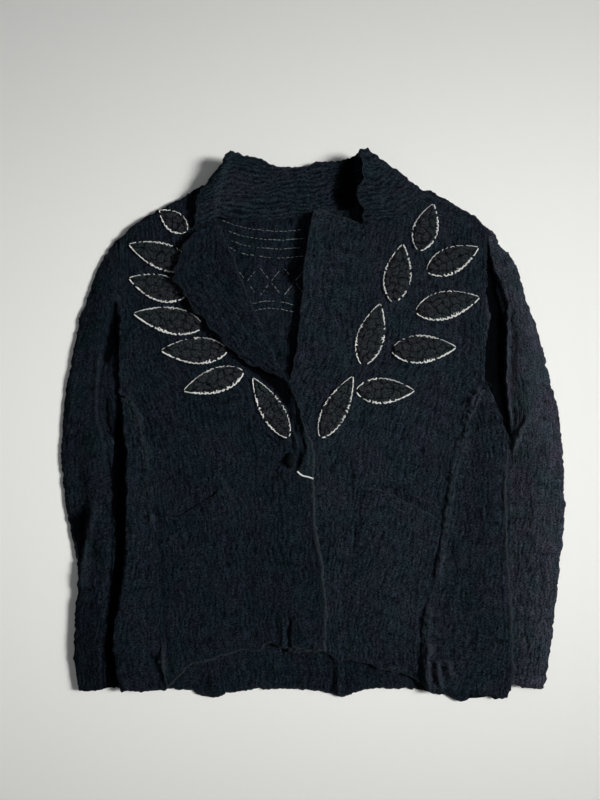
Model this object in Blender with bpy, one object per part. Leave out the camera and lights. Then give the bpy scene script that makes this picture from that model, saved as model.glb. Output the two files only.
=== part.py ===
"""A short unlined blazer with a stand collar, laid flat on a surface and seen from above.

X runs to the picture's right, Y to the collar, Z up from the surface. Tables are in millimetres.
Every panel is a closed wall of cloth. Panels lie on each other with a small gap between them.
"""
import math

import bmesh
import bpy
import numpy as np

MM = 0.001
PLAN_CENTRE = (0.4, -2.8)
WALL = 1.7
SEAM_GAP = 0.35
LAYER_GAP = 0.7
BACK_TOP = 1.8
FRONT_REST = BACK_TOP + LAYER_GAP
OVERLAP_RISE = WALL + 0.9
OVERLAP_EDGE_X = -33.0
OVERLAP_SLOPE = 20.0
OVERLAP_FADE = 30.0
CLOSURE_TOP_Y = 110.0
LEAF_GAP = 0.7
LEAST_LIFT = 0.35
PUCKER_RISE = 1.0
PUCKER_SHARES = (0.4, 1.0, 0.8)
FULL_BACK_RUN = 30.0
FOLD_FOOT = 3.0
FOLD_FOOT_LEAST = 0.6
FOLD_BEND = 0.8
FOLD_CLIMB = 1.2
FOLD_TOP = 1.0
LEAST_TURN = 1.9

CURVE_STEPS = 12
SIDE_ROWS = 24
ARMHOLE_ROWS = 9
FRONT_COLUMNS = 13
BACK_COLUMNS = 22
SLEEVE_ROWS = 24
SLEEVE_HALF_RING = 9
SLEEVE_EDGE = 4.6
SLEEVE_HOLLOW = 3.4
SLEEVE_CROWDING = 0.35
SLEEVE_INNER_STEPS = (0.8, -0.2)
COLLAR_ROWS = 30
COLLAR_ACROSS = 8
LAPEL_ROWS = 17
LAPEL_ACROSS = 6
LAPEL_CLEAR = 0.8
LAPEL_FLARE = 1.3
LAPEL_BELLY = 1.4
POCKET_COLUMNS = 8
POCKET_ROWS = 11
LEAF_LENGTHWISE = 8
LEAF_ACROSS = 4
LEAF_ENDS = (0.02, 0.985)
LEAF_ROUNDNESS = 0.8

BUTTON_RADIUS = 9.5
BUTTON_HEIGHT = 4.5
BUTTON_PLACE = (-28.0, -44.0)
BUTTON_SLIMNESS = 0.72
BUTTON_FOOT = 0.55
BUTTON_GAP = LEAF_GAP - 0.1
THREAD_RADIUS = 0.9
THREAD_LIFT = 0.6
THREAD_ROUTE = ((-19, -58), (-13, -63), (-5, -65), (1, -67))
THREAD_POINTS = 9

CLOTH = (0.013, 0.017, 0.024, 1.0)
LEAF_CLOTH = (0.02, 0.022, 0.026, 1.0)
THREAD = (0.75, 0.76, 0.74, 1.0)

# Outlines. Each row is one place, with columns x, y.
RIGHT_SIDE_SEAM = ((-182, -329), (-187, -294), (-189, -269), (-194, -219), (-201, -116),
                   (-206, -82), (-208, -44), (-216, -1), (-227, 31))
RIGHT_ARMHOLE = ((-239, 38), (-241, 231))
LEFT_SIDE_SEAM = ((147, -332), (141, -301), (139, -279), (144, -232), (154, -192), (166, -132),
                  (172, -76), (186, -26), (197, 21), (206, 43))
LEFT_ARMHOLE = ((213, 51), (217, 243))
RIGHT_SHOULDER = ((-241, 231), (-224, 245), (-203, 260), (-181, 272), (-166, 280), (-147, 292),
                  (-134, 299), (-124, 298))
ROLL_LINE = ((-124, 298), (-123, 284), (-119, 263), (-108, 231), (-98, 208), (-87, 178),
             (-76, 153), (-63, 124), (-53, 99), (-42, 77), (-29, 58))
CLOSURE_EDGE = ((-29, 58), (-22, 37), (-14, 16), (-8, -7), (1, -28), (2, -67), (4, -119),
                (12, -169), (17, -219), (17, -281))
RIGHT_FRONT_HEM = ((-182, -329), (-163, -311), (-147, -298), (-128, -293), (-109, -287),
                   (-91, -282), (-68, -283), (-53, -272), (-41, -276), (-27, -276), (-16, -278),
                   (-3, -281), (17, -281))
LEFT_FRONT_HEM = ((-31, -282), (-11, -283), (7, -283), (22, -288), (32, -296), (41, -293),
                  (59, -296), (72, -298), (84, -304), (103, -308), (116, -313), (128, -318),
                  (147, -332))
LEFT_FRONT_EDGE = ((-31, -282), (-32, -169), (-33, -57), (-32, 31), (-28, 59), (-22, 84),
                   (-16, 131), (-13, 168), (-11, 196), (-6, 231), (-3, 249), (1, 263))
LEFT_FRONT_TOP = ((1, 263), (11, 267), (22, 263), (34, 259), (47, 256), (62, 252), (91, 260),
                  (116, 270), (138, 284), (156, 281), (172, 275), (191, 266), (204, 257),
                  (217, 243))
BACK_TOP_EDGE = ((-241, 231), (-203, 262), (-166, 279), (-134, 299), (-124, 293), (-113, 263),
                 (-91, 259), (-66, 259), (-16, 263), (41, 273), (91, 283), (141, 292),
                 (156, 286), (184, 271), (217, 243))
BACK_HEM = ((-193, -332), (-179, -329), (-164, -332), (-149, -333), (-134, -339), (-119, -341),
            (-104, -336), (-74, -331), (-44, -332), (-14, -332), (16, -336), (31, -341),
            (46, -339), (61, -336), (76, -332), (121, -333), (151, -338), (172, -344),
            (186, -348), (194, -345))

# Side panels from the hem up. Columns: y, x of the side fold, x of the back seam, height that
# the fold is held off the surface by the sleeve under it, height of the fold's top.
RIGHT_FOLD = ((-332, -237, -193, 6.2, 13.0), (-301, -244, -195, 6.4, 13.5),
              (-269, -246, -196, 6.6, 14.0), (-219, -239, -197, 6.6, 14.0),
              (-169, -232, -198, 6.6, 14.0), (-119, -231, -199, 6.6, 14.0),
              (-57, -231, -203, 6.6, 14.0), (-19, -232, -211, 6.4, 13.4),
              (8, -234, -219, 5.8, 12.5), (36, -238, -229, 1.6, 9.5))
LEFT_FOLD = ((-341, 241, 194, 6.2, 13.0), (-307, 251, 198, 6.4, 14.0),
             (-279, 252, 198, 6.6, 15.0), (-232, 248, 200, 6.6, 15.0),
             (-194, 245, 202, 6.6, 15.0), (-132, 244, 204, 6.6, 15.0),
             (-76, 244, 206, 6.6, 15.0), (-26, 243, 209, 6.6, 14.2),
             (-1, 238, 210, 6.2, 13.2), (23, 230, 211, 5.6, 12.2), (48, 219, 212, 1.6, 9.5))

# Underside of a side panel, from the back seam to the fold. Columns: distance in from the fold
# where the panel is wide, height as a share of the fold's lift.
SIDE_UNDER = ((21.5, 0.0), (16.5, 0.25), (12.5, 0.7), (9.0, 0.95))
# Upper side of a side panel, from the fold to the front seam. Columns: share of the way to the
# seam, share of the drop from the fold's top to the seam.
SIDE_UPPER = ((0.14, 0.02), (0.34, 0.22), (0.58, 0.62), (0.8, 0.92), (1.0, 1.0))

# Sleeves from the armhole down. Columns: x and y of the outer edge, x and y of the inner edge,
# and the heights of the upper side at a quarter, a half and three quarters of the way in.
RIGHT_SLEEVE = ((-242, 232, -240, 37, 6.0, 6.5, 8.5), (-251, 221, -239.4, 29, 8.0, 7.5, 9.5),
                (-263, 201, -235.8, 16, 9.0, 8.0, 10.5), (-274, 176, -232.6, 0, 9.5, 8.0, 11.5),
                (-288, 137, -230.6, -18, 9.0, 9.5, 12.0), (-299, 83, -228.6, -38, 9.5, 10.5, 11.0),
                (-308, 31, -225.6, -60, 9.0, 11.5, 10.0), (-313, -26, -223, -84, 7.0, 12.0, 9.0),
                (-311, -69, -222, -112, 5.0, 12.5, 9.0), (-306, -107, -222, -142, 4.8, 12.5, 9.5),
                (-297, -151, -224, -177, 5.4, 12.0, 9.0), (-291, -188, -228, -215, 9.0, 11.0, 8.0),
                (-294, -232, -234, -252, 10.5, 11.0, 8.0), (-296, -282, -236, -292, 10.0, 11.5, 8.0),
                (-291, -331, -229, -327, 8.5, 9.5, 7.0))
LEFT_SLEEVE = ((218, 244, 214, 53, 6.0, 5.5, 7.5), (227, 236, 217, 51, 7.5, 6.0, 8.0),
               (235, 222, 221, 48, 9.0, 6.5, 8.5), (248, 207, 226, 34, 12.0, 7.0, 8.5),
               (258, 183, 231, 18, 13.5, 8.5, 8.0), (267, 153, 236, 1, 13.0, 11.5, 8.0),
               (282, 112, 239.6, -18, 11.5, 13.5, 9.0),
               (293, 68, 238.2, -42, 11.0, 13.5, 9.0), (304, 24, 237, -70, 11.0, 12.5, 9.0),
               (311, -26, 235, -100, 11.0, 12.5, 8.0), (313, -76, 235, -130, 11.0, 12.0, 7.5),
               (314, -119, 236, -167, 11.0, 11.5, 7.5), (309, -167, 237, -205, 11.0, 11.0, 7.5),
               (304, -214, 239, -242, 10.5, 11.0, 7.5), (298, -269, 242, -282, 10.0, 10.5, 7.5),
               (288, -329, 236, -322, 8.5, 9.0, 7.0))

# Where a sleeve's upper side is given a height, as shares of the way in from the outer edge.
SLEEVE_KNOTS = (0.0, 0.07, 0.25, 0.48, 0.7, 0.84, 0.94, 1.0)

# Collar from the wearer's right end round the neck. Columns: x, y, z at the neck seam, at the
# middle and at the free edge.
COLLAR = ((-148, 245, 13.0, -137, 288, 16.0, -98, 337, 21.0),
          (-121, 257, 11.5, -123, 289, 19.0, -99, 336, 23.5),
          (-109, 258, 6.8, -113, 290, 13.5, -90, 334, 20.0),
          (-86, 256, 3.8, -87, 292, 7.0, -71, 330, 14.0),
          (-51, 256, 3.4, -49, 290, 5.0, -44, 321, 9.0),
          (-16, 259, 3.4, -16, 291, 4.5, -16, 319, 7.0),
          (17, 265, 3.4, 12, 296, 4.5, 4, 326, 8.0),
          (49, 270, 3.4, 40, 302, 4.5, 24, 326, 10.0),
          (90, 279, 3.4, 74, 309, 5.0, 46, 330, 14.0),
          (128, 289, 4.0, 99, 313, 7.5, 61, 338, 19.5),
          (137, 291, 9.0, 104, 313, 13.5, 65, 339, 24.5),
          (124, 279, 11.5, 98, 303, 18.0, 66, 338, 27.0),
          (98, 262, 12.0, 78, 292, 21.0, 64, 338, 28.0),
          (62, 249, 12.5, 59, 289, 23.0, 60, 337, 28.0))

# The lapel down its roll. Columns: x and y of the roll, x and y of the outer edge, and the
# height that the outer edge stands off the front below it.
LAPEL = ((-117, 250, -147, 239, 6.0), (-113, 241, -157, 226, 7.0), (-106, 226, -165, 209, 7.0),
         (-98, 206, -172, 183, 6.5), (-87, 177, -157, 158, 6.0), (-76, 152, -136, 131, 5.5),
         (-64, 124, -112, 105, 5.0), (-54, 99, -90, 81, 4.0), (-43, 77, -61, 68, 2.0),
         (-34, 62, -40, 58, 1.0))

# Pocket outlines from the top corner. Columns x, y.
RIGHT_POCKET_TOP = ((-196, -113), (-188, -116), (-166, -114), (-156, -109), (-141, -98),
                    (-122, -87), (-113, -77))
RIGHT_POCKET_SIDE = ((-76, -275), (-81, -219), (-84, -169), (-91, -132), (-101, -94),
                     (-113, -77))
RIGHT_POCKET_HEM = ((-176, -318), (-163, -305), (-147, -293), (-128, -288), (-109, -281),
                    (-91, -277), (-76, -275))
RIGHT_POCKET_SEAM = ((-176, -318), (-183, -292), (-185, -268), (-190, -219), (-196, -113))
LEFT_POCKET_TOP = ((67, -76), (91, -84), (122, -98), (147, -112), (163, -121))
LEFT_POCKET_SIDE = ((38, -287), (41, -219), (47, -182), (53, -151), (56, -119), (62, -101),
                    (67, -76))
LEFT_POCKET_HEM = ((38, -287), (59, -291), (72, -293), (84, -299), (103, -303), (116, -308),
                   (128, -313), (136, -317))
LEFT_POCKET_SEAM = ((136, -317), (136, -301), (134, -279), (139, -232), (150, -192),
                    (163, -121))

# Leaves of the applique. Columns: x and y of the stalk end, x and y of the tip, width.
RIGHT_LEAVES = ((-30, -16, -74, 58, 28), (-86, 66, -160, 42, 30), (-106, 92, -188, 92, 32),
                (-136, 122, -222, 138, 32), (-158, 160, -228, 182, 32),
                (-150, 196, -228, 224, 32), (-156, 240, -190, 266, 24))
LEFT_LEAVES = ((10, -16, 50, 60, 29), (54, 42, 126, 42, 31), (62, 74, 84, 150, 33),
               (98, 92, 178, 96, 34), (100, 152, 112, 224, 33), (128, 140, 207, 158, 34),
               (142, 190, 206, 220, 32), (132, 216, 150, 274, 30))

# Soft folds in the fronts. Columns: x and y of one end, x and y of the other, rise, half width.
FRONT_FOLDS = ((-238, 120, -229, -10, 3.2, 30), (212, 140, 222, 10, 3.2, 30),
               (-3, 262, -11, 190, 8.5, 14), (-11, 190, -16, 110, 3.0, 13),
               (-16, 110, -28, 60, 2.0, 13), (-106, 224, -92, 190, 3.4, 16),
               (-92, 190, -44, 82, 3.0, 16), (-150, 240, -90, 120, 1.2, 40),
               (-150, -20, -140, -110, 1.1, 26), (-96, 40, -120, -60, 1.2, 24),
               (60, 30, 84, -70, 1.3, 26), (110, 60, 120, -80, 1.2, 30),
               (-60, -120, -48, -270, 1.3, 20), (96, -150, 84, -300, 1.3, 20),
               (-26, -200, -22, -276, 1.4, 12), (146, 220, 150, 110, 1.2, 34),
               (150, -240, 150, -330, 3.0, 18), (20, 160, 30, 40, 1.0, 30))

# Folds in the back where it shows below the fronts. Columns as for the front folds.
HEM_FOLDS = ((-126, -300, -119, -341, 2.2, 9), (-96, -296, -92, -336, 0.9, 10),
             (-50, -292, -46, -332, 1.0, 14), (33, -300, 33, -341, 2.2, 9),
             (96, -310, 92, -333, 1.0, 12), (184, -330, 188, -347, 3.0, 12))

# Gentle swells that run through all the upper layers. Columns: wave length, heading, rise, phase.
SWELLS = ((150, 18, 0.42, 0.4), (96, 74, 0.36, 2.1), (121, 121, 0.38, 4.0), (70, 40, 0.22, 1.3))


def clear_scene():
    """Remove whatever the file holds."""
    for thing in list(bpy.data.objects):
        bpy.data.objects.remove(thing, do_unlink=True)


def curve_points(known, places):
    """A smooth curve through known rows, read at fractional row numbers."""
    start = np.minimum(places.astype(int), len(known) - 2)
    t = (places - start)[:, None]
    before = np.vstack([2 * known[0] - known[1], known[:-1]])
    after = np.vstack([known[1:], 2 * known[-1] - known[-2]])
    tangent = (after - before) / 2
    return ((2 * t**3 - 3 * t**2 + 1) * known[start] + (t**3 - 2 * t**2 + t) * tangent[start]
            + (3 * t**2 - 2 * t**3) * known[start + 1] + (t**3 - t**2) * tangent[start + 1])


def smooth_line(points, count):
    """A smooth line through the points, as count places evenly spaced along it."""
    known = np.asarray(points, float)
    if len(known) > 2:
        spans = len(known) - 1
        known = curve_points(known, np.linspace(0, spans, spans * CURVE_STEPS + 1))
    steps = np.linalg.norm(np.diff(known, axis=0), axis=1)
    along = np.concatenate([[0], np.cumsum(steps)])
    wanted = np.linspace(0, along[-1], count)
    return np.stack([np.interp(wanted, along, axis) for axis in known.T], axis=1)


def rows_between(table, count):
    """Smooth rows read from a table whose rows are sections, evenly numbered."""
    known = np.asarray(table, float)
    return curve_points(known, np.linspace(0, len(known) - 1, count))


def patch(bottom, top, left, right):
    """Grid of plan places inside four edges. Rows run up, columns run to the right."""
    rows, columns = len(left), len(bottom)
    v = np.linspace(0, 1, rows)[:, None, None]
    u = np.linspace(0, 1, columns)[None, :, None]
    across = (1 - u) * left[:, None] + u * right[:, None]
    upward = (1 - v) * bottom[None] + v * top[None]
    corners = ((1 - u) * (1 - v) * bottom[0] + u * (1 - v) * bottom[-1]
               + (1 - u) * v * top[0] + u * v * top[-1])
    return across + upward - corners


def fold_height(x, y, folds):
    """Height that the soft folds add at plan places x, y."""
    total = np.zeros_like(x, dtype=float)
    for x0, y0, x1, y1, rise, half_width in folds:
        run, climb = x1 - x0, y1 - y0
        along = np.clip(((x - x0) * run + (y - y0) * climb) / (run**2 + climb**2), 0, 1)
        distance = np.hypot(x - x0 - along * run, y - y0 - along * climb)
        total += rise * np.exp(-(distance / half_width) ** 2)
    return total


def swell(x, y):
    """Gentle unevenness of cloth that lies loose, never below zero."""
    total = np.zeros_like(x, dtype=float)
    for length, heading, rise, phase in SWELLS:
        angle = math.radians(heading)
        total += rise * (1 + np.sin((x * math.cos(angle) + y * math.sin(angle))
                                    * 2 * math.pi / length + phase))
    return total


def front_under(x, y):
    """Height of the underside of the front panels over the back."""
    return FRONT_REST + swell(x, y) + fold_height(x, y, FRONT_FOLDS)


def right_front_under(x, y):
    """The same for the wearer's right front, which steps up over the left front's edge."""
    step = np.clip((x - OVERLAP_EDGE_X + OVERLAP_SLOPE) / OVERLAP_SLOPE, 0, 1)
    low_half = np.clip((CLOSURE_TOP_Y - y) / OVERLAP_FADE, 0, 1)
    return front_under(x, y) + OVERLAP_RISE * step**2 * (3 - 2 * step) * low_half


def to_metres(places):
    """Places in the tables' millimetres as metres from the middle of the garment's box."""
    return (np.asarray(places, float) - np.array([*PLAN_CENTRE, 0.0])) * MM


def material(name, colour, roughness):
    """A plain cloth or thread finish."""
    finish = bpy.data.materials.new(name)
    finish.use_nodes = True
    shader = finish.node_tree.nodes["Principled BSDF"]
    shader.inputs["Base Color"].default_value = colour
    shader.inputs["Roughness"].default_value = roughness
    return finish


def cloth_solid(name, inner, outer, colour=CLOTH, ring=False):
    """A closed wall between two grids of places in millimetres, shaped (rows, columns, 3).

    A ring's last column falls on its first, and the two are welded.
    """
    rows, columns = inner.shape[:2]
    shell = bmesh.new()
    bmesh.ops.create_grid(shell, x_segments=columns - 1, y_segments=rows - 1, size=0.5)
    place = shell.verts.layers.int.new("place")
    inner_places = to_metres(inner.reshape(-1, 3))
    outer_places = to_metres(outer.reshape(-1, 3))
    for number, vertex in enumerate(shell.verts):
        vertex[place] = number
        vertex.co = inner_places[number]
    if ring:
        bmesh.ops.remove_doubles(shell, verts=shell.verts, dist=0.00001)
    made = bmesh.ops.extrude_face_region(shell, geom=list(shell.faces), use_keep_orig=True)
    for item in made["geom"]:
        if isinstance(item, bmesh.types.BMVert):
            item.co = outer_places[item[place]]
    bmesh.ops.triangulate(shell, faces=shell.faces)
    bmesh.ops.recalc_face_normals(shell, faces=shell.faces)
    mesh = bpy.data.meshes.new(name)
    shell.to_mesh(mesh)
    shell.free()
    mesh.shade_smooth()
    panel = bpy.data.objects.new(name, mesh)
    panel.data.materials.append(material(name + "_cloth", colour, 0.95))
    bpy.context.scene.collection.objects.link(panel)
    return panel


def lay(plan, heights):
    """Places with the plan's x, y and the given heights."""
    return np.dstack([plan, heights])


def side_line(seam, armhole):
    """Side edge of a panel: up the side seam, then up the armhole, at fixed row numbers."""
    low = smooth_line(seam, SIDE_ROWS)
    high = smooth_line(armhole, ARMHOLE_ROWS)
    return np.vstack([low, high])


def inset(line, amount):
    """The line moved sideways in x, away from its neighbour across the seam."""
    return line + np.array([amount, 0.0])


def make_back():
    """The back panel: flat where it rests, lifted a little by the folds along its hem."""
    right_low = rows_between([(row[2], row[0]) for row in RIGHT_FOLD], SIDE_ROWS)
    left_low = rows_between([(row[2], row[0]) for row in LEFT_FOLD], SIDE_ROWS)
    left = inset(np.vstack([right_low, smooth_line(RIGHT_ARMHOLE, ARMHOLE_ROWS)]), SEAM_GAP)
    right = inset(np.vstack([left_low, smooth_line(LEFT_ARMHOLE, ARMHOLE_ROWS)]), -SEAM_GAP)
    bottom = smooth_line(BACK_HEM, BACK_COLUMNS)
    top = smooth_line(BACK_TOP_EDGE, BACK_COLUMNS)
    left[0], right[0], left[-1], right[-1] = bottom[0], bottom[-1], top[0], top[-1]
    plan = patch(bottom, top, left, right)
    lift = fold_height(plan[..., 0], plan[..., 1], HEM_FOLDS)
    lift[lift < LEAST_LIFT] = 0.0
    cloth_solid("back", lay(plan, lift), lay(plan, lift + BACK_TOP))


def make_fronts():
    """Both front panels. The wearer's right front laps over the left one."""
    hem = smooth_line(RIGHT_FRONT_HEM, FRONT_COLUMNS + 2)
    shoulder = smooth_line(RIGHT_SHOULDER, FRONT_COLUMNS + 2)
    side = inset(side_line(RIGHT_SIDE_SEAM, RIGHT_ARMHOLE), SEAM_GAP)
    edge = smooth_line(CLOSURE_EDGE[::-1] + ROLL_LINE[::-1][1:], len(side))
    plan = patch(hem, shoulder, side, edge)
    under = right_front_under(plan[..., 0], plan[..., 1])
    cloth_solid("right_front", lay(plan, under), lay(plan, under + WALL))

    hem = smooth_line(LEFT_FRONT_HEM, FRONT_COLUMNS)
    shoulder = smooth_line(LEFT_FRONT_TOP, FRONT_COLUMNS)
    side = inset(side_line(LEFT_SIDE_SEAM, LEFT_ARMHOLE), -SEAM_GAP)
    edge = smooth_line(LEFT_FRONT_EDGE, len(side))
    plan = patch(hem, shoulder, edge, side)
    under = front_under(plan[..., 0], plan[..., 1])
    cloth_solid("left_front", lay(plan, under), lay(plan, under + WALL))


def side_profile(seam_run, back_run, lift, top, seam_height):
    """Outer side of the wrap at one level: columns are distance in from the fold and height."""
    reach = min(1.0, back_run / FULL_BACK_RUN)
    under = [(back_run, 0.0)]
    under += [(distance * reach, share * lift) for distance, share in SIDE_UNDER]
    fold = [(FOLD_FOOT * reach + FOLD_FOOT_LEAST, lift), (FOLD_BEND, lift + FOLD_CLIMB),
            (0.0, (lift + top) / 2), (FOLD_TOP, top - FOLD_BEND)]
    upper = [(max(LEAST_TURN, share * seam_run), top + (seam_height - top) * drop)
             for share, drop in SIDE_UPPER]
    return np.array(under + fold + upper)


def offset_inward(profile, amount):
    """The profile moved to its inner side by the wall's thickness."""
    step = np.gradient(profile, axis=0)
    length = np.hypot(step[:, 0], step[:, 1])[:, None]
    return profile + amount * np.stack([step[:, 1], -step[:, 0]], axis=1) / length


def make_side(name, seam, fold, outward):
    """A side panel: a strip under the sleeve's inner edge, round the fold, up to the seam."""
    seam_line = smooth_line(seam, SIDE_ROWS)
    levels = rows_between(fold, SIDE_ROWS)
    inner_rows, outer_rows = [], []
    for number, (place, level_row) in enumerate(zip(seam_line, levels)):
        seam_x, seam_y = place
        fold_y, fold_x, back_x, lift, top = level_row
        seam_run = abs(fold_x - seam_x) - SEAM_GAP
        back_run = abs(fold_x - back_x) - SEAM_GAP
        seam_height = float(front_under(np.array(seam_x), np.array(seam_y))) + WALL
        outside = side_profile(seam_run, back_run, lift, top, seam_height)
        inside = offset_inward(outside, WALL)
        outside[-3:, 1] += PUCKER_RISE * (number % 2) * np.array(PUCKER_SHARES)
        share = np.linspace(0, 1, len(outside))
        level = fold_y + (seam_y - fold_y) * share**2
        for rows, profile in ((outer_rows, outside), (inner_rows, inside)):
            rows.append(np.stack([fold_x - outward * profile[:, 0], level, profile[:, 1]], axis=1))
    cloth_solid(name, np.array(inner_rows), np.array(outer_rows))


def sleeve_ring(row, shrink):
    """One section of a flattened sleeve, from the outer edge over the top and back below."""
    outer_x, outer_y, inner_x, inner_y, quarter, half, three_quarter = row
    width = math.hypot(inner_x - outer_x, inner_y - outer_y)
    share = (1 - np.cos(np.linspace(0, math.pi, SLEEVE_HALF_RING))) / 2
    even = np.linspace(0, 1, SLEEVE_HALF_RING)
    share = SLEEVE_CROWDING * share + (1 - SLEEVE_CROWDING) * even
    edge_top = SLEEVE_EDGE
    inner_first, inner_last = (edge_top + step for step in SLEEVE_INNER_STEPS)
    heights = (edge_top / 2, edge_top, quarter, half, three_quarter, inner_first, inner_last,
               edge_top / 2)
    top = np.interp(share, SLEEVE_KNOTS, heights)
    bottom = np.maximum(0.0, top - (2 * WALL + SLEEVE_HOLLOW))
    bottom[0] = bottom[-1] = top[0]
    if shrink:
        top = top - WALL
        bottom = bottom + WALL
        top[0] = top[-1] = bottom[0] = bottom[-1] = edge_top / 2
        share = WALL / width + share * (1 - 2 * WALL / width)
    places = np.concatenate([share, share[-2:0:-1], share[:1]])
    heights = np.concatenate([top, bottom[-2:0:-1], top[:1]])
    x = outer_x + places * (inner_x - outer_x)
    y = outer_y + places * (inner_y - outer_y)
    return np.stack([x, y, heights], axis=1)


def make_sleeve(name, table, outward):
    """A sleeve laid flat as an open tube, from the armhole to the cuff."""
    rows = rows_between(table, SLEEVE_ROWS)
    rows[0, 0] += outward * SEAM_GAP
    rows[0, 2] += outward * SEAM_GAP
    outside = np.array([sleeve_ring(row, False) for row in rows])
    inside = np.array([sleeve_ring(row, True) for row in rows])
    cloth_solid(name, inside, outside, ring=True)


def across_curve(row, count):
    """Places from the neck seam through the middle to the free edge, on one parabola."""
    seam, middle, free = row[0:3], row[3:6], row[6:9]
    t = np.linspace(0, 1, count)[:, None]
    return ((1 - t) * (1 - 2 * t) * seam + 4 * t * (1 - t) * middle + t * (2 * t - 1) * free)


def thicken(grid, amount):
    """The grid moved along its own normals."""
    along = np.gradient(grid, axis=0)
    across = np.gradient(grid, axis=1)
    normal = np.cross(across, along)
    normal /= np.linalg.norm(normal, axis=2)[..., None]
    return grid + amount * normal


def make_collar():
    """The stand collar, turned out at one end and leaning over at the other."""
    rows = rows_between(COLLAR, COLLAR_ROWS)
    middle = np.array([across_curve(row, COLLAR_ACROSS) for row in rows])
    cloth_solid("collar", thicken(middle, -WALL / 2), thicken(middle, WALL / 2))


def make_lapel():
    """The turned-back lapel, from its roll to its raised outer edge."""
    rows = rows_between(LAPEL, LAPEL_ROWS)
    share = np.linspace(0, 1, LAPEL_ACROSS)
    x = rows[:, 0:1] + share * (rows[:, 2:3] - rows[:, 0:1])
    y = rows[:, 1:2] + share * (rows[:, 3:4] - rows[:, 1:2])
    stand_off = (LEAF_GAP + LAPEL_CLEAR + rows[:, 4:5] * share**LAPEL_FLARE
                 + LAPEL_BELLY * np.sin(math.pi * share))
    plan = np.dstack([x, y])
    under = right_front_under(x, y) + WALL + stand_off
    cloth_solid("right_lapel", lay(plan, under), lay(plan, under + WALL))


def make_pocket(name, hem, top, left, right, under_of):
    """A patch pocket lying on its front panel."""
    plan = patch(smooth_line(hem, POCKET_COLUMNS), smooth_line(top, POCKET_COLUMNS),
                 smooth_line(left, POCKET_ROWS), smooth_line(right, POCKET_ROWS))
    under = under_of(plan[..., 0], plan[..., 1]) + WALL + LEAF_GAP
    cloth_solid(name, lay(plan, under), lay(plan, under + WALL))


def make_leaf(name, row, under_of):
    """One leaf of the applique, pointed at its tip, lying on the front."""
    stalk_x, stalk_y, tip_x, tip_y, width = row
    length = math.hypot(tip_x - stalk_x, tip_y - stalk_y)
    ahead = np.array([tip_x - stalk_x, tip_y - stalk_y]) / length
    beside = np.array([-ahead[1], ahead[0]])
    share = np.linspace(*LEAF_ENDS, LEAF_LENGTHWISE)
    half = width / 2 * np.sin(math.pi * share**LEAF_ROUNDNESS) ** LEAF_ROUNDNESS
    side = np.linspace(-1, 1, LEAF_ACROSS)
    plan = (np.array([stalk_x, stalk_y]) + (share * length)[:, None, None] * ahead
            + (half[:, None] * side)[..., None] * beside)
    under = under_of(plan[..., 0], plan[..., 1]) + WALL + LEAF_GAP
    cloth_solid(name, lay(plan, under), lay(plan, under + WALL), LEAF_CLOTH)


def make_button():
    """The covered button, a low dome on the front beside the edge."""
    x, y = BUTTON_PLACE
    base = float(right_front_under(np.array(x), np.array(y))) + WALL + BUTTON_GAP
    shape = bmesh.new()
    bmesh.ops.create_uvsphere(shape, u_segments=16, v_segments=8, radius=1.0)
    for vertex in shape.verts:
        level = (max(vertex.co.z, -BUTTON_FOOT) + BUTTON_FOOT) / (1 + BUTTON_FOOT)
        vertex.co = (vertex.co.x * BUTTON_RADIUS * BUTTON_SLIMNESS * MM,
                     vertex.co.y * BUTTON_RADIUS * MM, level * BUTTON_HEIGHT * MM)
    bmesh.ops.remove_doubles(shape, verts=shape.verts, dist=0.00001)
    mesh = bpy.data.meshes.new("button")
    shape.to_mesh(mesh)
    shape.free()
    mesh.shade_smooth()
    button = bpy.data.objects.new("button", mesh)
    button.location = to_metres((x, y, base))
    button.data.materials.append(material("button_cloth", CLOTH, 0.8))
    bpy.context.scene.collection.objects.link(button)


def make_thread():
    """The white button loop, a short thick thread beside the closure."""
    route = smooth_line(THREAD_ROUTE, THREAD_POINTS)
    heights = right_front_under(route[:, 0], route[:, 1]) + WALL + THREAD_RADIUS + THREAD_LIFT
    curve = bpy.data.curves.new("loop_thread", "CURVE")
    curve.dimensions = "3D"
    curve.bevel_depth = THREAD_RADIUS * MM
    curve.bevel_resolution = 2
    curve.use_fill_caps = True
    spline = curve.splines.new("POLY")
    spline.points.add(len(route) - 1)
    for point, (x, y), z in zip(spline.points, route, heights):
        point.co = (*to_metres((x, y, z)), 1.0)
    thread = bpy.data.objects.new("loop_thread", curve)
    thread.data.materials.append(material("thread", THREAD, 0.7))
    bpy.context.scene.collection.objects.link(thread)


def main():
    """Build every piece."""
    clear_scene()
    make_back()
    make_fronts()
    make_side("right_side", RIGHT_SIDE_SEAM, RIGHT_FOLD, -1)
    make_side("left_side", LEFT_SIDE_SEAM, LEFT_FOLD, 1)
    make_sleeve("right_sleeve", RIGHT_SLEEVE, -1)
    make_sleeve("left_sleeve", LEFT_SLEEVE, 1)
    make_collar()
    make_lapel()
    make_pocket("right_pocket", RIGHT_POCKET_HEM, RIGHT_POCKET_TOP, RIGHT_POCKET_SEAM,
                RIGHT_POCKET_SIDE, right_front_under)
    make_pocket("left_pocket", LEFT_POCKET_HEM, LEFT_POCKET_TOP, LEFT_POCKET_SIDE,
                LEFT_POCKET_SEAM, front_under)
    for number, row in enumerate(RIGHT_LEAVES, 1):
        make_leaf(f"right_leaf_{number}", row, right_front_under)
    for number, row in enumerate(LEFT_LEAVES, 1):
        make_leaf(f"left_leaf_{number}", row, front_under)
    make_button()
    make_thread()


main()
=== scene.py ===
"""Looks of a short blazer in crinkled navy-black cotton, laid flat and seen from above.

Plan tables are in millimetres on the garment's own plan and are turned to metres by to_metres.
"""
from __future__ import annotations

import logging
import math
from dataclasses import dataclass
from enum import Enum

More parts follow.
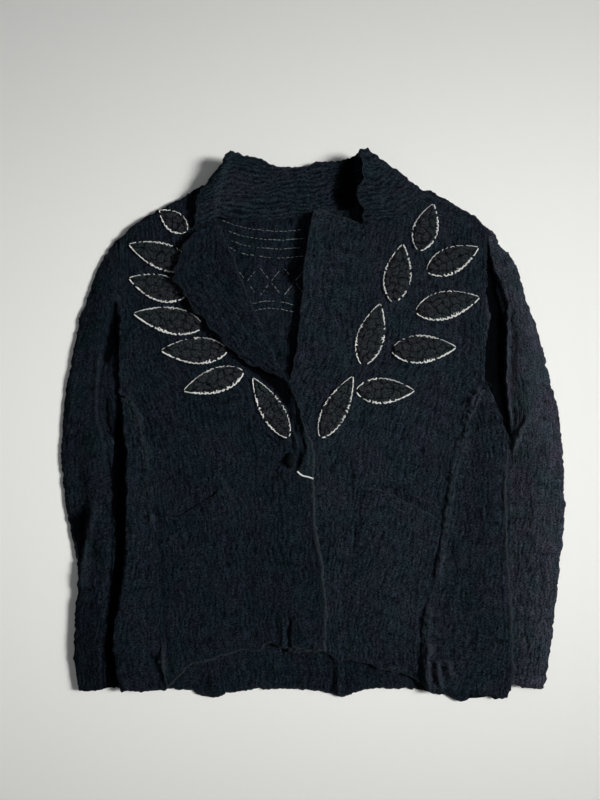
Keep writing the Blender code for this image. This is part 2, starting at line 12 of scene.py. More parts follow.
import bmesh
import bpy
import numpy as np
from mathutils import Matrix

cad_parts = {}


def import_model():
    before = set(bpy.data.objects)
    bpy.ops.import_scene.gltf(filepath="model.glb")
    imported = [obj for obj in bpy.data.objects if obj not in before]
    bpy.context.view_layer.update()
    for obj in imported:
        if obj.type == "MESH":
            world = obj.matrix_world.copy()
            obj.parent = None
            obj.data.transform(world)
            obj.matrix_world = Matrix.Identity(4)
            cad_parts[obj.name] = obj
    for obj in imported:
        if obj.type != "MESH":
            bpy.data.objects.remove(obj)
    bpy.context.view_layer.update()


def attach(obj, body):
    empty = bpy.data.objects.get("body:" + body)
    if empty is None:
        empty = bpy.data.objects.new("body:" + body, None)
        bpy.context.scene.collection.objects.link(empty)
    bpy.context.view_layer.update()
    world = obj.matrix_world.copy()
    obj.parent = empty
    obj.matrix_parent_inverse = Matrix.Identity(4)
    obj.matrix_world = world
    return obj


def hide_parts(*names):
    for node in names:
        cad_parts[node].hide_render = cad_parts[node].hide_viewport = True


LOG = logging.getLogger("blazer")
BODY = "root"

MM = 0.001
PLAN_CENTRE = (0.4, -2.8)
WALL = 1.7
LAYER_GAP = 0.7
BACK_TOP = 1.8
FRONT_REST = BACK_TOP + LAYER_GAP
OVERLAP_RISE = WALL + 0.9
OVERLAP_EDGE_X = -33.0
OVERLAP_SLOPE = 20.0
CLOSURE_TOP_Y = 110.0
LEAF_GAP = 0.7
SLEEVE_EDGE = 4.6
SLEEVE_HOLLOW = 3.4
FLOOR_GAP = 0.05
THINNEST = 0.6
EYE_HEIGHT = 1.2
VIEW_CENTRE = (-0.0160, 0.0334)
VIEW_TALL = 1.0

Places = tuple[tuple[float, ...], ...]
Colour = tuple[float, float, float]
Source = bpy.types.NodeSocket | tuple[float, ...] | float

# Outlines. Each row is one place, with columns x, y.
RIGHT_SIDE_SEAM: Places = (
    (-182, -329), (-187, -294), (-189, -269), (-194, -219), (-201, -116), (-206, -82), (-208, -44),
    (-216, -1), (-227, 31))
RIGHT_ARMHOLE: Places = ((-239, 38), (-241, 231))
LEFT_SIDE_SEAM: Places = (
    (147, -332), (141, -301), (139, -279), (144, -232), (154, -192), (166, -132), (172, -76),
    (186, -26), (197, 21), (206, 43))
LEFT_ARMHOLE: Places = ((213, 51), (217, 243))
RIGHT_SHOULDER: Places = (
    (-241, 231), (-224, 245), (-203, 260), (-181, 272), (-166, 280), (-147, 292), (-134, 299),
    (-124, 298))
ROLL_LINE: Places = (
    (-124, 298), (-123, 284), (-119, 263), (-108, 231), (-98, 208), (-87, 178), (-76, 153),
    (-63, 124), (-53, 99), (-42, 77), (-29, 58))
CLOSURE_EDGE: Places = (
    (-29, 58), (-22, 37), (-14, 16), (-8, -7), (1, -28), (2, -67), (4, -119), (12, -169),
    (17, -219), (17, -281))
RIGHT_FRONT_HEM: Places = (
    (-182, -329), (-163, -311), (-147, -298), (-128, -293), (-109, -287), (-91, -282), (-68, -283),
    (-53, -272), (-41, -276), (-27, -276), (-16, -278), (-3, -281), (17, -281))
LEFT_FRONT_HEM: Places = (
    (-31, -282), (-11, -283), (7, -283), (22, -288), (32, -296), (41, -293), (59, -296),
    (72, -298), (84, -304), (103, -308), (116, -313), (128, -318), (147, -332))
LEFT_FRONT_EDGE: Places = (
    (-31, -282), (-32, -169), (-33, -57), (-32, 31), (-28, 59), (-22, 84), (-16, 131), (-13, 168),
    (-11, 196), (-6, 231), (-3, 249), (1, 263))
LEFT_FRONT_TOP: Places = (
    (1, 263), (11, 267), (22, 263), (34, 259), (47, 256), (62, 252), (91, 260), (116, 270),
    (138, 284), (156, 281), (172, 275), (191, 266), (204, 257), (217, 243))
BACK_TOP_EDGE: Places = (
    (-241, 231), (-203, 262), (-166, 279), (-134, 299), (-124, 293), (-113, 263), (-91, 259),
    (-66, 259), (-16, 263), (41, 273), (91, 283), (141, 292), (156, 286), (184, 271), (217, 243))
BACK_HEM: Places = (
    (-193, -332), (-179, -329), (-164, -332), (-149, -333), (-134, -339), (-119, -341),
    (-104, -336), (-74, -331), (-44, -332), (-14, -332), (16, -336), (31, -341), (46, -339),
    (61, -336), (76, -332), (121, -333), (151, -338), (172, -344), (186, -348), (194, -345))

# Side panels from the hem up. Columns: y, x of the side fold, x of the back seam, height that
# the fold is held off the surface, height of the fold's top.
RIGHT_FOLD: Places = (
    (-332, -237, -193, 6.2, 13.0), (-301, -244, -195, 6.4, 13.5), (-269, -246, -196, 6.6, 14.0),
    (-219, -239, -197, 6.6, 14.0), (-169, -232, -198, 6.6, 14.0), (-119, -231, -199, 6.6, 14.0),
    (-57, -231, -203, 6.6, 14.0), (-19, -232, -211, 6.4, 13.4), (8, -234, -219, 5.8, 12.5),
    (36, -238, -229, 1.6, 9.5))
LEFT_FOLD: Places = (
    (-341, 241, 194, 6.2, 13.0), (-307, 251, 198, 6.4, 14.0), (-279, 252, 198, 6.6, 15.0),
    (-232, 248, 200, 6.6, 15.0), (-194, 245, 202, 6.6, 15.0), (-132, 244, 204, 6.6, 15.0),
    (-76, 244, 206, 6.6, 15.0), (-26, 243, 209, 6.6, 14.2), (-1, 238, 210, 6.2, 13.2),
    (23, 230, 211, 5.6, 12.2), (48, 219, 212, 1.6, 9.5))

# Sleeves from the armhole down. Columns: x and y of the outer edge, x and y of the inner edge,
# and the heights of the upper side at a quarter, a half and three quarters of the way in.
RIGHT_SLEEVE: Places = (
    (-242, 232, -240, 37, 6.0, 6.5, 8.5), (-251, 221, -239.4, 29, 8.0, 7.5, 9.5),
    (-263, 201, -235.8, 16, 9.0, 8.0, 10.5), (-274, 176, -232.6, 0, 9.5, 8.0, 11.5),
    (-288, 137, -230.6, -18, 9.0, 9.5, 12.0), (-299, 83, -228.6, -38, 9.5, 10.5, 11.0),
    (-308, 31, -225.6, -60, 9.0, 11.5, 10.0), (-313, -26, -223, -84, 7.0, 12.0, 9.0),
    (-311, -69, -222, -112, 5.0, 12.5, 9.0), (-306, -107, -222, -142, 4.8, 12.5, 9.5),
    (-297, -151, -224, -177, 5.4, 12.0, 9.0), (-291, -188, -228, -215, 9.0, 11.0, 8.0),
    (-294, -232, -234, -252, 10.5, 11.0, 8.0), (-296, -282, -236, -292, 10.0, 11.5, 8.0),
    (-291, -331, -229, -327, 8.5, 9.5, 7.0))
LEFT_SLEEVE: Places = (
    (218, 244, 214, 53, 6.0, 5.5, 7.5), (227, 236, 217, 51, 7.5, 6.0, 8.0),
    (235, 222, 221, 48, 9.0, 6.5, 8.5), (248, 207, 226, 34, 12.0, 7.0, 8.5),
    (258, 183, 231, 18, 13.5, 8.5, 8.0), (267, 153, 236, 1, 13.0, 11.5, 8.0),
    (282, 112, 239.6, -18, 11.5, 13.5, 9.0), (293, 68, 238.2, -42, 11.0, 13.5, 9.0),
    (304, 24, 237, -70, 11.0, 12.5, 9.0), (311, -26, 235, -100, 11.0, 12.5, 8.0),
    (313, -76, 235, -130, 11.0, 12.0, 7.5), (314, -119, 236, -167, 11.0, 11.5, 7.5),
    (309, -167, 237, -205, 11.0, 11.0, 7.5), (304, -214, 239, -242, 10.5, 11.0, 7.5),
    (298, -269, 242, -282, 10.0, 10.5, 7.5), (288, -329, 236, -322, 8.5, 9.0, 7.0))

# Collar from the wearer's right end round the neck. Columns: x, y, z at the neck seam, at the
# middle and at the free edge.
COLLAR: Places = (
    (-148, 245, 13.0, -137, 288, 16.0, -98, 337, 21.0),
    (-121, 257, 11.5, -123, 289, 19.0, -99, 336, 23.5),
    (-109, 258, 6.8, -113, 290, 13.5, -90, 334, 20.0),
    (-86, 256, 3.8, -87, 292, 7.0, -71, 330, 14.0),
    (-51, 256, 3.4, -49, 290, 5.0, -44, 321, 9.0),
    (-16, 259, 3.4, -16, 291, 4.5, -16, 319, 7.0),
    (17, 265, 3.4, 12, 296, 4.5, 4, 326, 8.0),
    (49, 270, 3.4, 40, 302, 4.5, 24, 326, 10.0),
    (90, 279, 3.4, 74, 309, 5.0, 46, 330, 14.0),
    (129, 288, 4.0, 99, 313, 7.5, 61, 338, 19.5),
    (140, 286, 9.0, 104, 313, 13.5, 65, 339, 24.5),
    (129, 271, 11.5, 98, 303, 18.0, 66, 338, 27.0),
    (102, 255, 12.0, 78, 292, 21.0, 64, 338, 28.0),
    (62, 249, 12.5, 59, 289, 23.0, 60, 337, 28.0))

# The lapel down its roll. Columns: x and y of the roll, x and y of the outer edge, and the
# height that the outer edge stands off the front below it.
LAPEL: Places = (
    (-117, 250, -147, 239, 6.0), (-113, 241, -157, 226, 7.0), (-106, 226, -165, 209, 7.0),
    (-98, 206, -172, 183, 6.5), (-87, 177, -157, 158, 6.0), (-76, 152, -136, 131, 5.5),
    (-64, 124, -112, 105, 5.0), (-54, 99, -90, 81, 4.0), (-43, 77, -61, 68, 2.0),
    (-34, 62, -40, 58, 1.0))

# Pocket outlines. Columns x, y.
RIGHT_POCKET_TOP: Places = (
    (-196, -113), (-188, -116), (-166, -114), (-156, -109), (-141, -98), (-122, -87), (-113, -77))
RIGHT_POCKET_SIDE: Places = (
    (-76, -275), (-81, -219), (-84, -169), (-91, -132), (-101, -94), (-113, -77))
RIGHT_POCKET_HEM: Places = (
    (-176, -318), (-163, -305), (-147, -293), (-128, -288), (-109, -281), (-91, -277),
    (-76, -275))
RIGHT_POCKET_SEAM: Places = (
    (-176, -318), (-183, -292), (-185, -268), (-190, -219), (-196, -113))
LEFT_POCKET_TOP: Places = ((67, -76), (91, -84), (122, -98), (147, -112), (163, -121))
LEFT_POCKET_SIDE: Places = (
    (38, -287), (41, -219), (47, -182), (53, -151), (56, -119), (62, -101), (67, -76))
LEFT_POCKET_HEM: Places = (
    (38, -287), (59, -291), (72, -293), (84, -299), (103, -303), (116, -308), (128, -313),
    (136, -317))
LEFT_POCKET_SEAM: Places = (
    (136, -317), (136, -301), (134, -279), (139, -232), (150, -192), (163, -121))

# Leaves of the applique. Columns: x and y of the stalk end, x and y of the tip, width.
RIGHT_LEAVES: Places = (
    (-30, -16, -74, 58, 28), (-86, 66, -160, 42, 30), (-106, 92, -188, 92, 32),
    (-136, 122, -222, 138, 32), (-158, 160, -228, 182, 32), (-150, 196, -228, 224, 32),
    (-156, 240, -190, 266, 24))
LEFT_LEAVES: Places = (
    (10, -16, 50, 60, 29), (54, 42, 126, 42, 31), (62, 74, 84, 150, 33), (98, 92, 178, 96, 34),
    (100, 152, 112, 224, 33), (128, 140, 207, 158, 34), (142, 190, 206, 220, 32),
    (132, 216, 150, 274, 30))

# Soft folds in the fronts. Columns: x and y of one end, x and y of the other, rise, half width.
FRONT_FOLDS: Places = (
    (-238, 120, -229, -10, 3.2, 30), (212, 140, 222, 10, 3.2, 30), (-3, 262, -11, 190, 8.5, 14),
    (-11, 190, -16, 110, 3.0, 13), (-16, 110, -28, 60, 2.0, 13), (-106, 224, -92, 190, 3.4, 16),
    (-92, 190, -44, 82, 3.0, 16), (-150, 240, -90, 120, 1.2, 40), (-150, -20, -140, -110, 1.1, 26),
    (-96, 40, -120, -60, 1.2, 24), (60, 30, 84, -70, 1.3, 26), (110, 60, 120, -80, 1.2, 30),
    (-60, -120, -48, -270, 1.3, 20), (96, -150, 84, -300, 1.3, 20), (-26, -200, -22, -276, 1.4, 12),
    (146, 220, 150, 110, 1.2, 34), (150, -240, 150, -330, 3.0, 18), (20, 160, 30, 40, 1.0, 30))
HEM_FOLDS: Places = (
    (-126, -300, -119, -341, 2.2, 9), (-96, -296, -92, -336, 0.9, 10), (-50, -292, -46, -332, 1.0, 14),
    (33, -300, 33, -341, 2.2, 9), (96, -310, 92, -333, 1.0, 12), (184, -330, 188, -347, 3.0, 12))

# Gentle swells of all the upper layers. Columns: wave length, heading, rise, phase.
SWELLS: Places = ((150, 18, 0.42, 0.4), (96, 74, 0.36, 2.1), (121, 121, 0.38, 4.0),
                  (70, 40, 0.22, 1.3))


class Grain(Enum):
    """Which way the crinkle of a piece runs."""

    DOWN = "down"
    ACROSS = "across"
    CRACKLED = "crackled"


class Noise:
    """Smooth repeatable noise on a plane, worked out for whole arrays at once."""

    @staticmethod
    def corner(ix: np.ndarray, iy: np.ndarray, seed: int) -> np.ndarray:
        """Return a repeatable value from 0 to 1 for each whole-numbered corner.

        Args:
            ix: First coordinate.
            iy: Second coordinate.
            seed: Number that picks the pattern.

        Returns:
            Values of the same shape as ix.
        """
        mixed = (ix.astype(np.int64) * 374761393 + iy.astype(np.int64) * 668265263
                 + seed * 1442695041)
        mixed = (mixed ^ (mixed >> 13)) * 1274126177
        mixed = mixed ^ (mixed >> 16)
        return (mixed & 0xFFFFFF) / float(0xFFFFFF)

    @classmethod
    def wave(cls, x: np.ndarray, y: np.ndarray, seed: int) -> np.ndarray:
        """Return gradient noise from about -1 to 1.

        Args:
            x: First coordinate, in cells.
            y: Second coordinate, in cells.
            seed: Number that picks the pattern.

        Returns:
            Noise of the same shape as x.
        """
        ix, iy = np.floor(x), np.floor(y)
        fx, fy = x - ix, y - iy
        blend_x = fx * fx * fx * (fx * (fx * 6 - 15) + 10)
        blend_y = fy * fy * fy * (fy * (fy * 6 - 15) + 10)
        total = np.zeros_like(fx)
        for dx in (0, 1):
            for dy in (0, 1):
                angle = cls.corner(ix + dx, iy + dy, seed) * 2 * math.pi
                slope = np.cos(angle) * (fx - dx) + np.sin(angle) * (fy - dy)
                weight_x = blend_x if dx else 1 - blend_x
                weight_y = blend_y if dy else 1 - blend_y
                total += slope * weight_x * weight_y
        return total * 1.5

    @classmethod
    def cells(cls, x: np.ndarray, y: np.ndarray, seed: int) -> np.ndarray:
        """Return the distance to the nearest cell wall, zero on a wall.

        Args:
            x: First coordinate, in cells.
            y: Second coordinate, in cells.
            seed: Number that picks the pattern.

        Returns:
            Distance in cells, of the same shape as x.
        """
        ix, iy = np.floor(x), np.floor(y)
        nearest = np.full(x.shape, 9.0)
        second = np.full(x.shape, 9.0)
        for dx in (-1, 0, 1):
            for dy in (-1, 0, 1):
                px = ix + dx + 0.15 + 0.7 * cls.corner(ix + dx, iy + dy, seed)
                py = iy + dy + 0.15 + 0.7 * cls.corner(ix + dx, iy + dy, seed + 7)
                distance = np.hypot(x - px, y - py)
                second = np.minimum(second, np.maximum(nearest, distance))
                nearest = np.minimum(nearest, distance)
        return second - nearest


def to_metres(places: np.ndarray) -> np.ndarray:
    """Return places in the plan's millimetres as metres in the part's frame."""
    return (np.asarray(places, float) - np.array([*PLAN_CENTRE, 0.0])) * MM


def curve_points(known: np.ndarray, places: np.ndarray) -> np.ndarray:
    """Return a smooth curve through known rows, read at fractional row numbers."""
    start = np.minimum(places.astype(int), len(known) - 2)
    t = (places - start)[:, None]
    before = np.vstack([2 * known[0] - known[1], known[:-1]])
    after = np.vstack([known[1:], 2 * known[-1] - known[-2]])
    tangent = (after - before) / 2
    return ((2 * t**3 - 3 * t**2 + 1) * known[start] + (t**3 - 2 * t**2 + t) * tangent[start]
            + (3 * t**2 - 2 * t**3) * known[start + 1] + (t**3 - t**2) * tangent[start + 1])


def smooth_line(points: Places, count: int, spread: np.ndarray | None = None) -> np.ndarray:
    """Return places evenly spaced, or at given shares, along a smooth line.

    Args:
        points: Rows of coordinates.
        count: How many places.
        spread: Shares from 0 to 1 along the line, in place of even ones.

    Returns:
        Array of count rows.
    """
    known = np.asarray(points, float)
    if len(known) > 2:
        known = curve_points(known, np.linspace(0, len(known) - 1, (len(known) - 1) * 12 + 1))
    along = np.concatenate([[0], np.cumsum(np.linalg.norm(np.diff(known, axis=0), axis=1))])
    wanted = (np.linspace(0, 1, count) if spread is None else spread) * along[-1]
    return np.stack([np.interp(wanted, along, axis) for axis in known.T], axis=1)


def rows_between(table: Places, count: int) -> np.ndarray:
    """Return smooth rows between the rows of a table, evenly numbered."""
    known = np.asarray(table, float)
    return curve_points(known, np.linspace(0, len(known) - 1, count))


def patch(bottom: np.ndarray, top: np.ndarray, left: np.ndarray, right: np.ndarray) -> np.ndarray:
    """Return a grid of plan places inside four edges, rows up and columns to the right."""
    v = np.linspace(0, 1, len(left))[:, None, None]
    u = np.linspace(0, 1, len(bottom))[None, :, None]
    corners = ((1 - u) * (1 - v) * bottom[0] + u * (1 - v) * bottom[-1]
               + (1 - u) * v * top[0] + u * v * top[-1])
    sideways = (1 - u) * left[:, None] + u * right[:, None]
    return sideways + (1 - v) * bottom[None] + v * top[None] - corners


def distance_to_line(x: np.ndarray, y: np.ndarray,
                     line: np.ndarray) -> tuple[np.ndarray, np.ndarray]:
    """Return how far places are from a line.

    Args:
        x: Plan places, in millimetres.
        y: Plan places, in millimetres.
        line: Rows of x and y.

    Returns:
        The distance to the line, and how far along it the nearest place is.
    """
    best = np.full(x.shape, 1e9)
    where = np.zeros(x.shape)
    travelled = 0.0
    for (x0, y0), (x1, y1) in zip(line[:-1], line[1:]):
        run, climb = x1 - x0, y1 - y0
        length = math.hypot(run, climb)
        share = np.clip(((x - x0) * run + (y - y0) * climb) / length**2, 0, 1)
        distance = np.hypot(x - x0 - share * run, y - y0 - share * climb)
        closer = distance < best
        best = np.where(closer, distance, best)
        where = np.where(closer, travelled + share * length, where)
        travelled += length
    return best, where


def fold_height(x: np.ndarray, y: np.ndarray, folds: Places) -> np.ndarray:
    """Return the height that soft folds add at plan places."""
    total = np.zeros_like(x, dtype=float)
    for x0, y0, x1, y1, rise, half_width in folds:
        distance, _ = distance_to_line(x, y, np.array([(x0, y0), (x1, y1)]))
        total += rise * np.exp(-(distance / half_width) ** 2)
    return total


def swell(x: np.ndarray, y: np.ndarray) -> np.ndarray:
    """Return the gentle unevenness of cloth that lies loose."""
    total = np.zeros_like(x, dtype=float)
    for length, heading, rise, phase in SWELLS:
        angle = math.radians(heading)
        total += rise * (1 + np.sin((x * math.cos(angle) + y * math.sin(angle))
                                    * 2 * math.pi / length + phase))
    return total


def front_under(x: np.ndarray, y: np.ndarray) -> np.ndarray:
    """Return the height of the underside of the front panels."""
    return FRONT_REST + swell(x, y) + fold_height(x, y, FRONT_FOLDS)


def right_front_under(x: np.ndarray, y: np.ndarray) -> np.ndarray:
    """Return the same for the front that steps up over the other one's edge."""
    step = np.clip((x - OVERLAP_EDGE_X + OVERLAP_SLOPE) / OVERLAP_SLOPE, 0, 1)
    low_half = np.clip((CLOSURE_TOP_Y - y) / 30, 0, 1)
    return front_under(x, y) + OVERLAP_RISE * step**2 * (3 - 2 * step) * low_half


def along_and_across(grid: np.ndarray) -> tuple[np.ndarray, np.ndarray]:
    """Return each point's travel along its row and up its column, in millimetres."""
    across = np.cumsum(np.linalg.norm(np.diff(grid, axis=1, prepend=grid[:, :1]), axis=2), axis=1)
    upward = np.cumsum(np.linalg.norm(np.diff(grid, axis=0, prepend=grid[:1]), axis=2), axis=0)
    middle = across.shape[1] // 2
    return across - across[:, middle:middle + 1], upward


def normals_of(grid: np.ndarray) -> np.ndarray:
    """Return unit normals of a grid whose rows run up and columns run right."""
    normal = np.cross(np.gradient(grid, axis=1), np.gradient(grid, axis=0))
    return normal / np.maximum(np.linalg.norm(normal, axis=2)[..., None], 1e-9)


class Crinkle:
    """Relief of the cloth: fine uneven ridges with short cross wrinkles, or puffed cells."""

    RIDGE = 4.4
    RIDGE_LENGTH = 21.0
    RIB = 5.6
    LUMP = 4.6
    LUMP_LENGTH = 8.0
    CELL = 9.5

    @classmethod
    def relief(cls, s: np.ndarray, t: np.ndarray, grain: Grain, seed: int) -> np.ndarray:
        """Return the relief from 0 to 1.

        Args:
            s: Travel across the ridges, in millimetres.
            t: Travel along the ridges, in millimetres.
            grain: How the piece is crinkled.
            seed: Number that picks the pattern.

        Returns:
            Relief of the same shape as s.
        """
        if grain is Grain.CRACKLED:
            bend = 2.2 * Noise.wave(s / 11, t / 11, seed + 3)
            wall = Noise.cells((s + bend) / cls.CELL, (t - bend) / (cls.CELL * 1.12), seed)
            puff = np.clip(wall / 0.34, 0, 1)
            fine = Noise.wave(s / 3.1, t / 3.4, seed + 5)
            return np.clip(0.78 * puff * (2 - puff) + 0.2 * (0.5 + 0.5 * fine), 0, 1)
        bend = 3.4 * Noise.wave(s / 34, t / 46, seed + 1) + 1.4 * Noise.wave(s / 12, t / 13, seed + 2)
        ridge = np.abs(Noise.wave((s + bend) / cls.RIDGE, t / cls.RIDGE_LENGTH, seed)) * 2.1
        lump = np.abs(Noise.wave((s + bend) / cls.LUMP, t / cls.LUMP_LENGTH, seed + 4)) * 1.9
        cross = Noise.wave(s / 7.5, t / 3.4, seed + 5)
        loose = 0.5 + 0.5 * Noise.wave(s / 40, t / 55, seed + 6)
        puff = np.clip(ridge, 0, 1) ** 0.7
        blister = np.clip(lump, 0, 1) ** 0.7
        blend = (0.42 + 0.2 * loose) * puff + (0.46 - 0.16 * loose) * blister
        steady = 0.45 if grain is Grain.ACROSS else 0.25
        rib = 0.5 + 0.5 * np.cos((s + 1.6 * bend) * 2 * math.pi / cls.RIB)
        blend = (1 - steady) * blend + steady * rib
        return np.clip(blend + 0.2 * cross, 0, 1)


@dataclass(frozen=True)
class Pucker:
    """A gathered seam, bumpy like a row of small blisters."""

    line: Places
    rise: float
    reach: float
    step: float

    def height(self, x: np.ndarray, y: np.ndarray, seed: int) -> np.ndarray:
        """Return the height that the puckers add at plan places, in millimetres."""
        line = smooth_line(self.line, 40)
        distance, along = distance_to_line(x, y, line)
        wander = 2.6 * Noise.wave(along / 13, np.zeros_like(along) + 0.5, seed + 3)
        near = np.exp(-((distance + wander) / self.reach) ** 2)
        shift = along + 1.6 * Noise.wave(along / 9, distance / 9, seed + 1)
        bar = np.abs(Noise.wave(shift / self.step, distance / 18 + 1.3, seed)) ** 0.9 * 2.1
        strength = np.clip(0.85 + 0.9 * Noise.wave(along / 38, np.zeros_like(along) + 2.5, seed + 2),
                           0.3, 1.3)
        return self.rise * near * (0.12 + 0.88 * np.clip(bar, 0, 1.3)) * strength


@dataclass(frozen=True)
class Hollow:
    """A deep hollow whose shade is painted into the cloth's colour, sunk to a floor where one is given.
    """

    # Share of the painted shade taken off where the hollow still catches light.
    LIT_SHARE = 0.55

    table: Places
    floor: float | None = None
    soft: float = 3.0
    # How dark the painted shade is where the hollow is deepest.
    dark: float = 0.97
    lit: Places = ()

    def mask(self, x: np.ndarray, y: np.ndarray) -> np.ndarray:
        """Return how deep in the hollow each place lies, which sets its painted shade.

        Args:
            x: Plan places, in millimetres.
            y: Plan places, in millimetres.

        Returns:
            1 in the hollow, 0 outside it and less than 1 where it still catches light.
        """
        inside = self.inside(self.table, x, y)
        if self.lit:
            inside = inside * (1 - self.LIT_SHARE * self.inside(self.lit, x, y))
        return inside

    def inside(self, table: Places, x: np.ndarray, y: np.ndarray) -> np.ndarray:
        """Return 1 in a band and 0 outside it.

        Args:
            table: The band's rows, as x, y and half width.
            x: Plan places, in millimetres.
            y: Plan places, in millimetres.

        Returns:
            Mask of the same shape as x.
        """
        rows = rows_between(table, 60)
        deepest = np.full(x.shape, -1e9)
        for (x0, y0, half0), (x1, y1, half1) in zip(rows[:-1], rows[1:]):
            run, climb = x1 - x0, y1 - y0
            share = np.clip(((x - x0) * run + (y - y0) * climb) / (run**2 + climb**2), 0, 1)
            distance = np.hypot(x - x0 - share * run, y - y0 - share * climb)
            deepest = np.maximum(deepest, half0 + (half1 - half0) * share - distance)
        inside = np.clip((deepest + self.soft / 2) / self.soft, 0, 1)
        return inside * inside * (3 - 2 * inside)


# Bands of painted shade, some of them also sunk to a floor. Columns: x, y, half width.
RIGHT_HOLLOW: Places = (
    (-246, 150, 1.5), (-248, 118, 6), (-250, 80, 11), (-253, 21, 12.8), (-246, -17, 12),
    (-242, -52, 11.5), (-240.5, -107, 10.5), (-240, -162, 10.6), (-244, -199, 9), (-249, -237, 8),
    (-252, -282, 9), (-253, -330, 9))
RIGHT_LIT_PATCH: Places = ((-254, 34, 0.4), (-253, 20, 3.2), (-251, 2, 3.6), (-249, -12, 1.0))
LEFT_HOLLOW: Places = (
    (215, 238, 1.0), (219, 190, 7.0), (228, 156, 10.5), (230.5, 126, 10.5), (227, 97, 13.5),
    (226, 73, 13.5), (231, 34, 10.5), (238, 12, 6.0), (247, -16, 0.5))
ELBOW_FOLD: Places = (
    (-282, -98, -3), (-288, -112, 5), (-297, -128, 13), (-307, -151, 20), (-316, -184, 23),
    (-314, -206, 10))
# Painted shade on the lower sleeve beside the body, nothing sunk.
LOW_SLEEVE_SHADE: Places = ((-288, -205, 4), (-276, -240, 18), (-270, -280, 24), (-266, -330, 28))
# Painted shadow under the lapel's edge, nothing sunk.
CLOSURE_HOLLOW: Places = (
    (-92, 90, 2.5), (-80, 76, 4.5), (-67, 66.5, 6), (-52, 57, 8), (-38, 47, 9.5), (-33, 35, 7),
    (-31, 25, 3.5))
# Thin lines of painted shade in the closing edge's creases, nothing sunk.
CLOSURE_GROOVE_SHADE: tuple[Places, ...] = (
    ((-28, 18, 0.6), (-27, 10, 2.0), (-26.5, 2, 0.6)), ((-23, 6, 0.5), (-20, -3, 2.0), (-16.5, -12, 0.5)),
    ((-17, -30, 0.6), (-15.5, -38, 2.6), (-16, -47, 2.6), (-18, -54, 0.6)),
    ((-29, -244, 0.6), (-28.5, -262, 2.0), (-28.5, -276, 2.4)))
# Painted shade inside the collar's fold, nothing sunk.
COLLAR_HOLLOW: Places = (
    (50, 334, 3), (44, 322, 8), (41, 306, 13), (40, 290, 15), (41, 276, 14), (46, 264, 9), (54, 256, 4))
ELBOW_EDGE: Places = ((-274, -92), (-271, -108), (-275, -126), (-281, -151), (-287, -186), (-291, -206))


@dataclass(frozen=True)
class Crease:
    """A sharp crease or ridge drawn along a given line, tapering to nothing at both ends."""

    line: Places
    rise: float
    half_width: float
    # How strongly the crease's crest is painted with a highlight, from 0 to 1.
    pale: float = 0.0

    def weight(self, x: np.ndarray, y: np.ndarray) -> np.ndarray:
        """Return the crease's strength at plan places, from 0 to 1."""
        line = smooth_line(self.line, 24)
        distance, along = distance_to_line(x, y, line)
        length = float(np.sum(np.linalg.norm(np.diff(line, axis=0), axis=1)))
        taper = np.clip(np.minimum(along, length - along) / (0.18 * length) + 0.15, 0, 1)
        return taper * np.exp(-(distance / self.half_width) ** 2)


SEAMS: tuple[Pucker, ...] = (
    Pucker(RIGHT_SIDE_SEAM[4:], 4.2, 5.4, 6.4), Pucker(RIGHT_SIDE_SEAM[1:5], 1.2, 5.0, 6.4),
    Pucker(RIGHT_SIDE_SEAM[:2], 3.4, 5.0, 6.0), Pucker(LEFT_SIDE_SEAM, 3.8, 5.2, 6.4),
    Pucker(RIGHT_ARMHOLE, 1.8, 4.6, 8.0), Pucker(LEFT_ARMHOLE, 1.3, 4.6, 8.0))


# The closing edge's rolled band: its own roll, the hollow beside it and the folds below.
PLACKET: tuple[Crease, ...] = (
    Crease(((-23, 52), (-21, 39), (-14, 21), (-9, 0), (-1, -16)), 4.6, 3.2, 0.75),
    Crease(((-8, -16), (-7, -34), (-8, -54)), 2.4, 3.8, 0.2),
    Crease(((-1, -36), (0, -67), (1, -119), (9, -169), (14, -219), (14, -278)), 1.4, 2.4, 0.3),
    Crease(((-36, 54), (-33, 40), (-29, 22), (-22, 6)), -3.0, 4.2),
    Crease(((-24, 20), (-18, 2), (-12, -18), (-10, -34)), -2.2, 2.4),
    Crease(((-32, 18), (-25, -2), (-20, -22), (-17, -40)), 2.6, 2.8),
    Crease(((-17, -40), (-18, -60)), -3.0, 2.0),
    Crease(((-29, -238), (-29, -292)), -5.0, 1.8),
    Crease(((-190, -272), (-187, -300), (-184, -326)), 2.4, 3.6, 0.3),
    Crease(((-35, -240), (-37, -290)), 2.0, 4.0),
    Crease(((-197, -94), (-195, -108), (-184, -118), (-160, -116), (-141, -103), (-113, -76)), -2.2, 2.4),
    Crease(((-112, -66), (-108, -80), (-100, -96)), 1.6, 4.0, 0.2))
BACK_CREASES: tuple[Crease, ...] = (
    Crease(((24, -300), (26, -338)), -1.4, 2.0), Crease(((42, -300), (42, -337)), -1.2, 2.0),
    Crease(((33, -296), (33, -340)), 1.4, 4.0), Crease(((-132, -296), (-130, -336)), -1.2, 1.8),
    Crease(((-116, -296), (-114, -338)), -1.2, 1.8), Crease(((-60, -290), (-58, -330)), -0.8, 2.2),
    Crease(((92, -306), (90, -331)), -0.9, 2.0),
    Crease(tuple((x + 7, y) for x, y in ROLL_LINE[2:-1]), -1.0, 3.0))
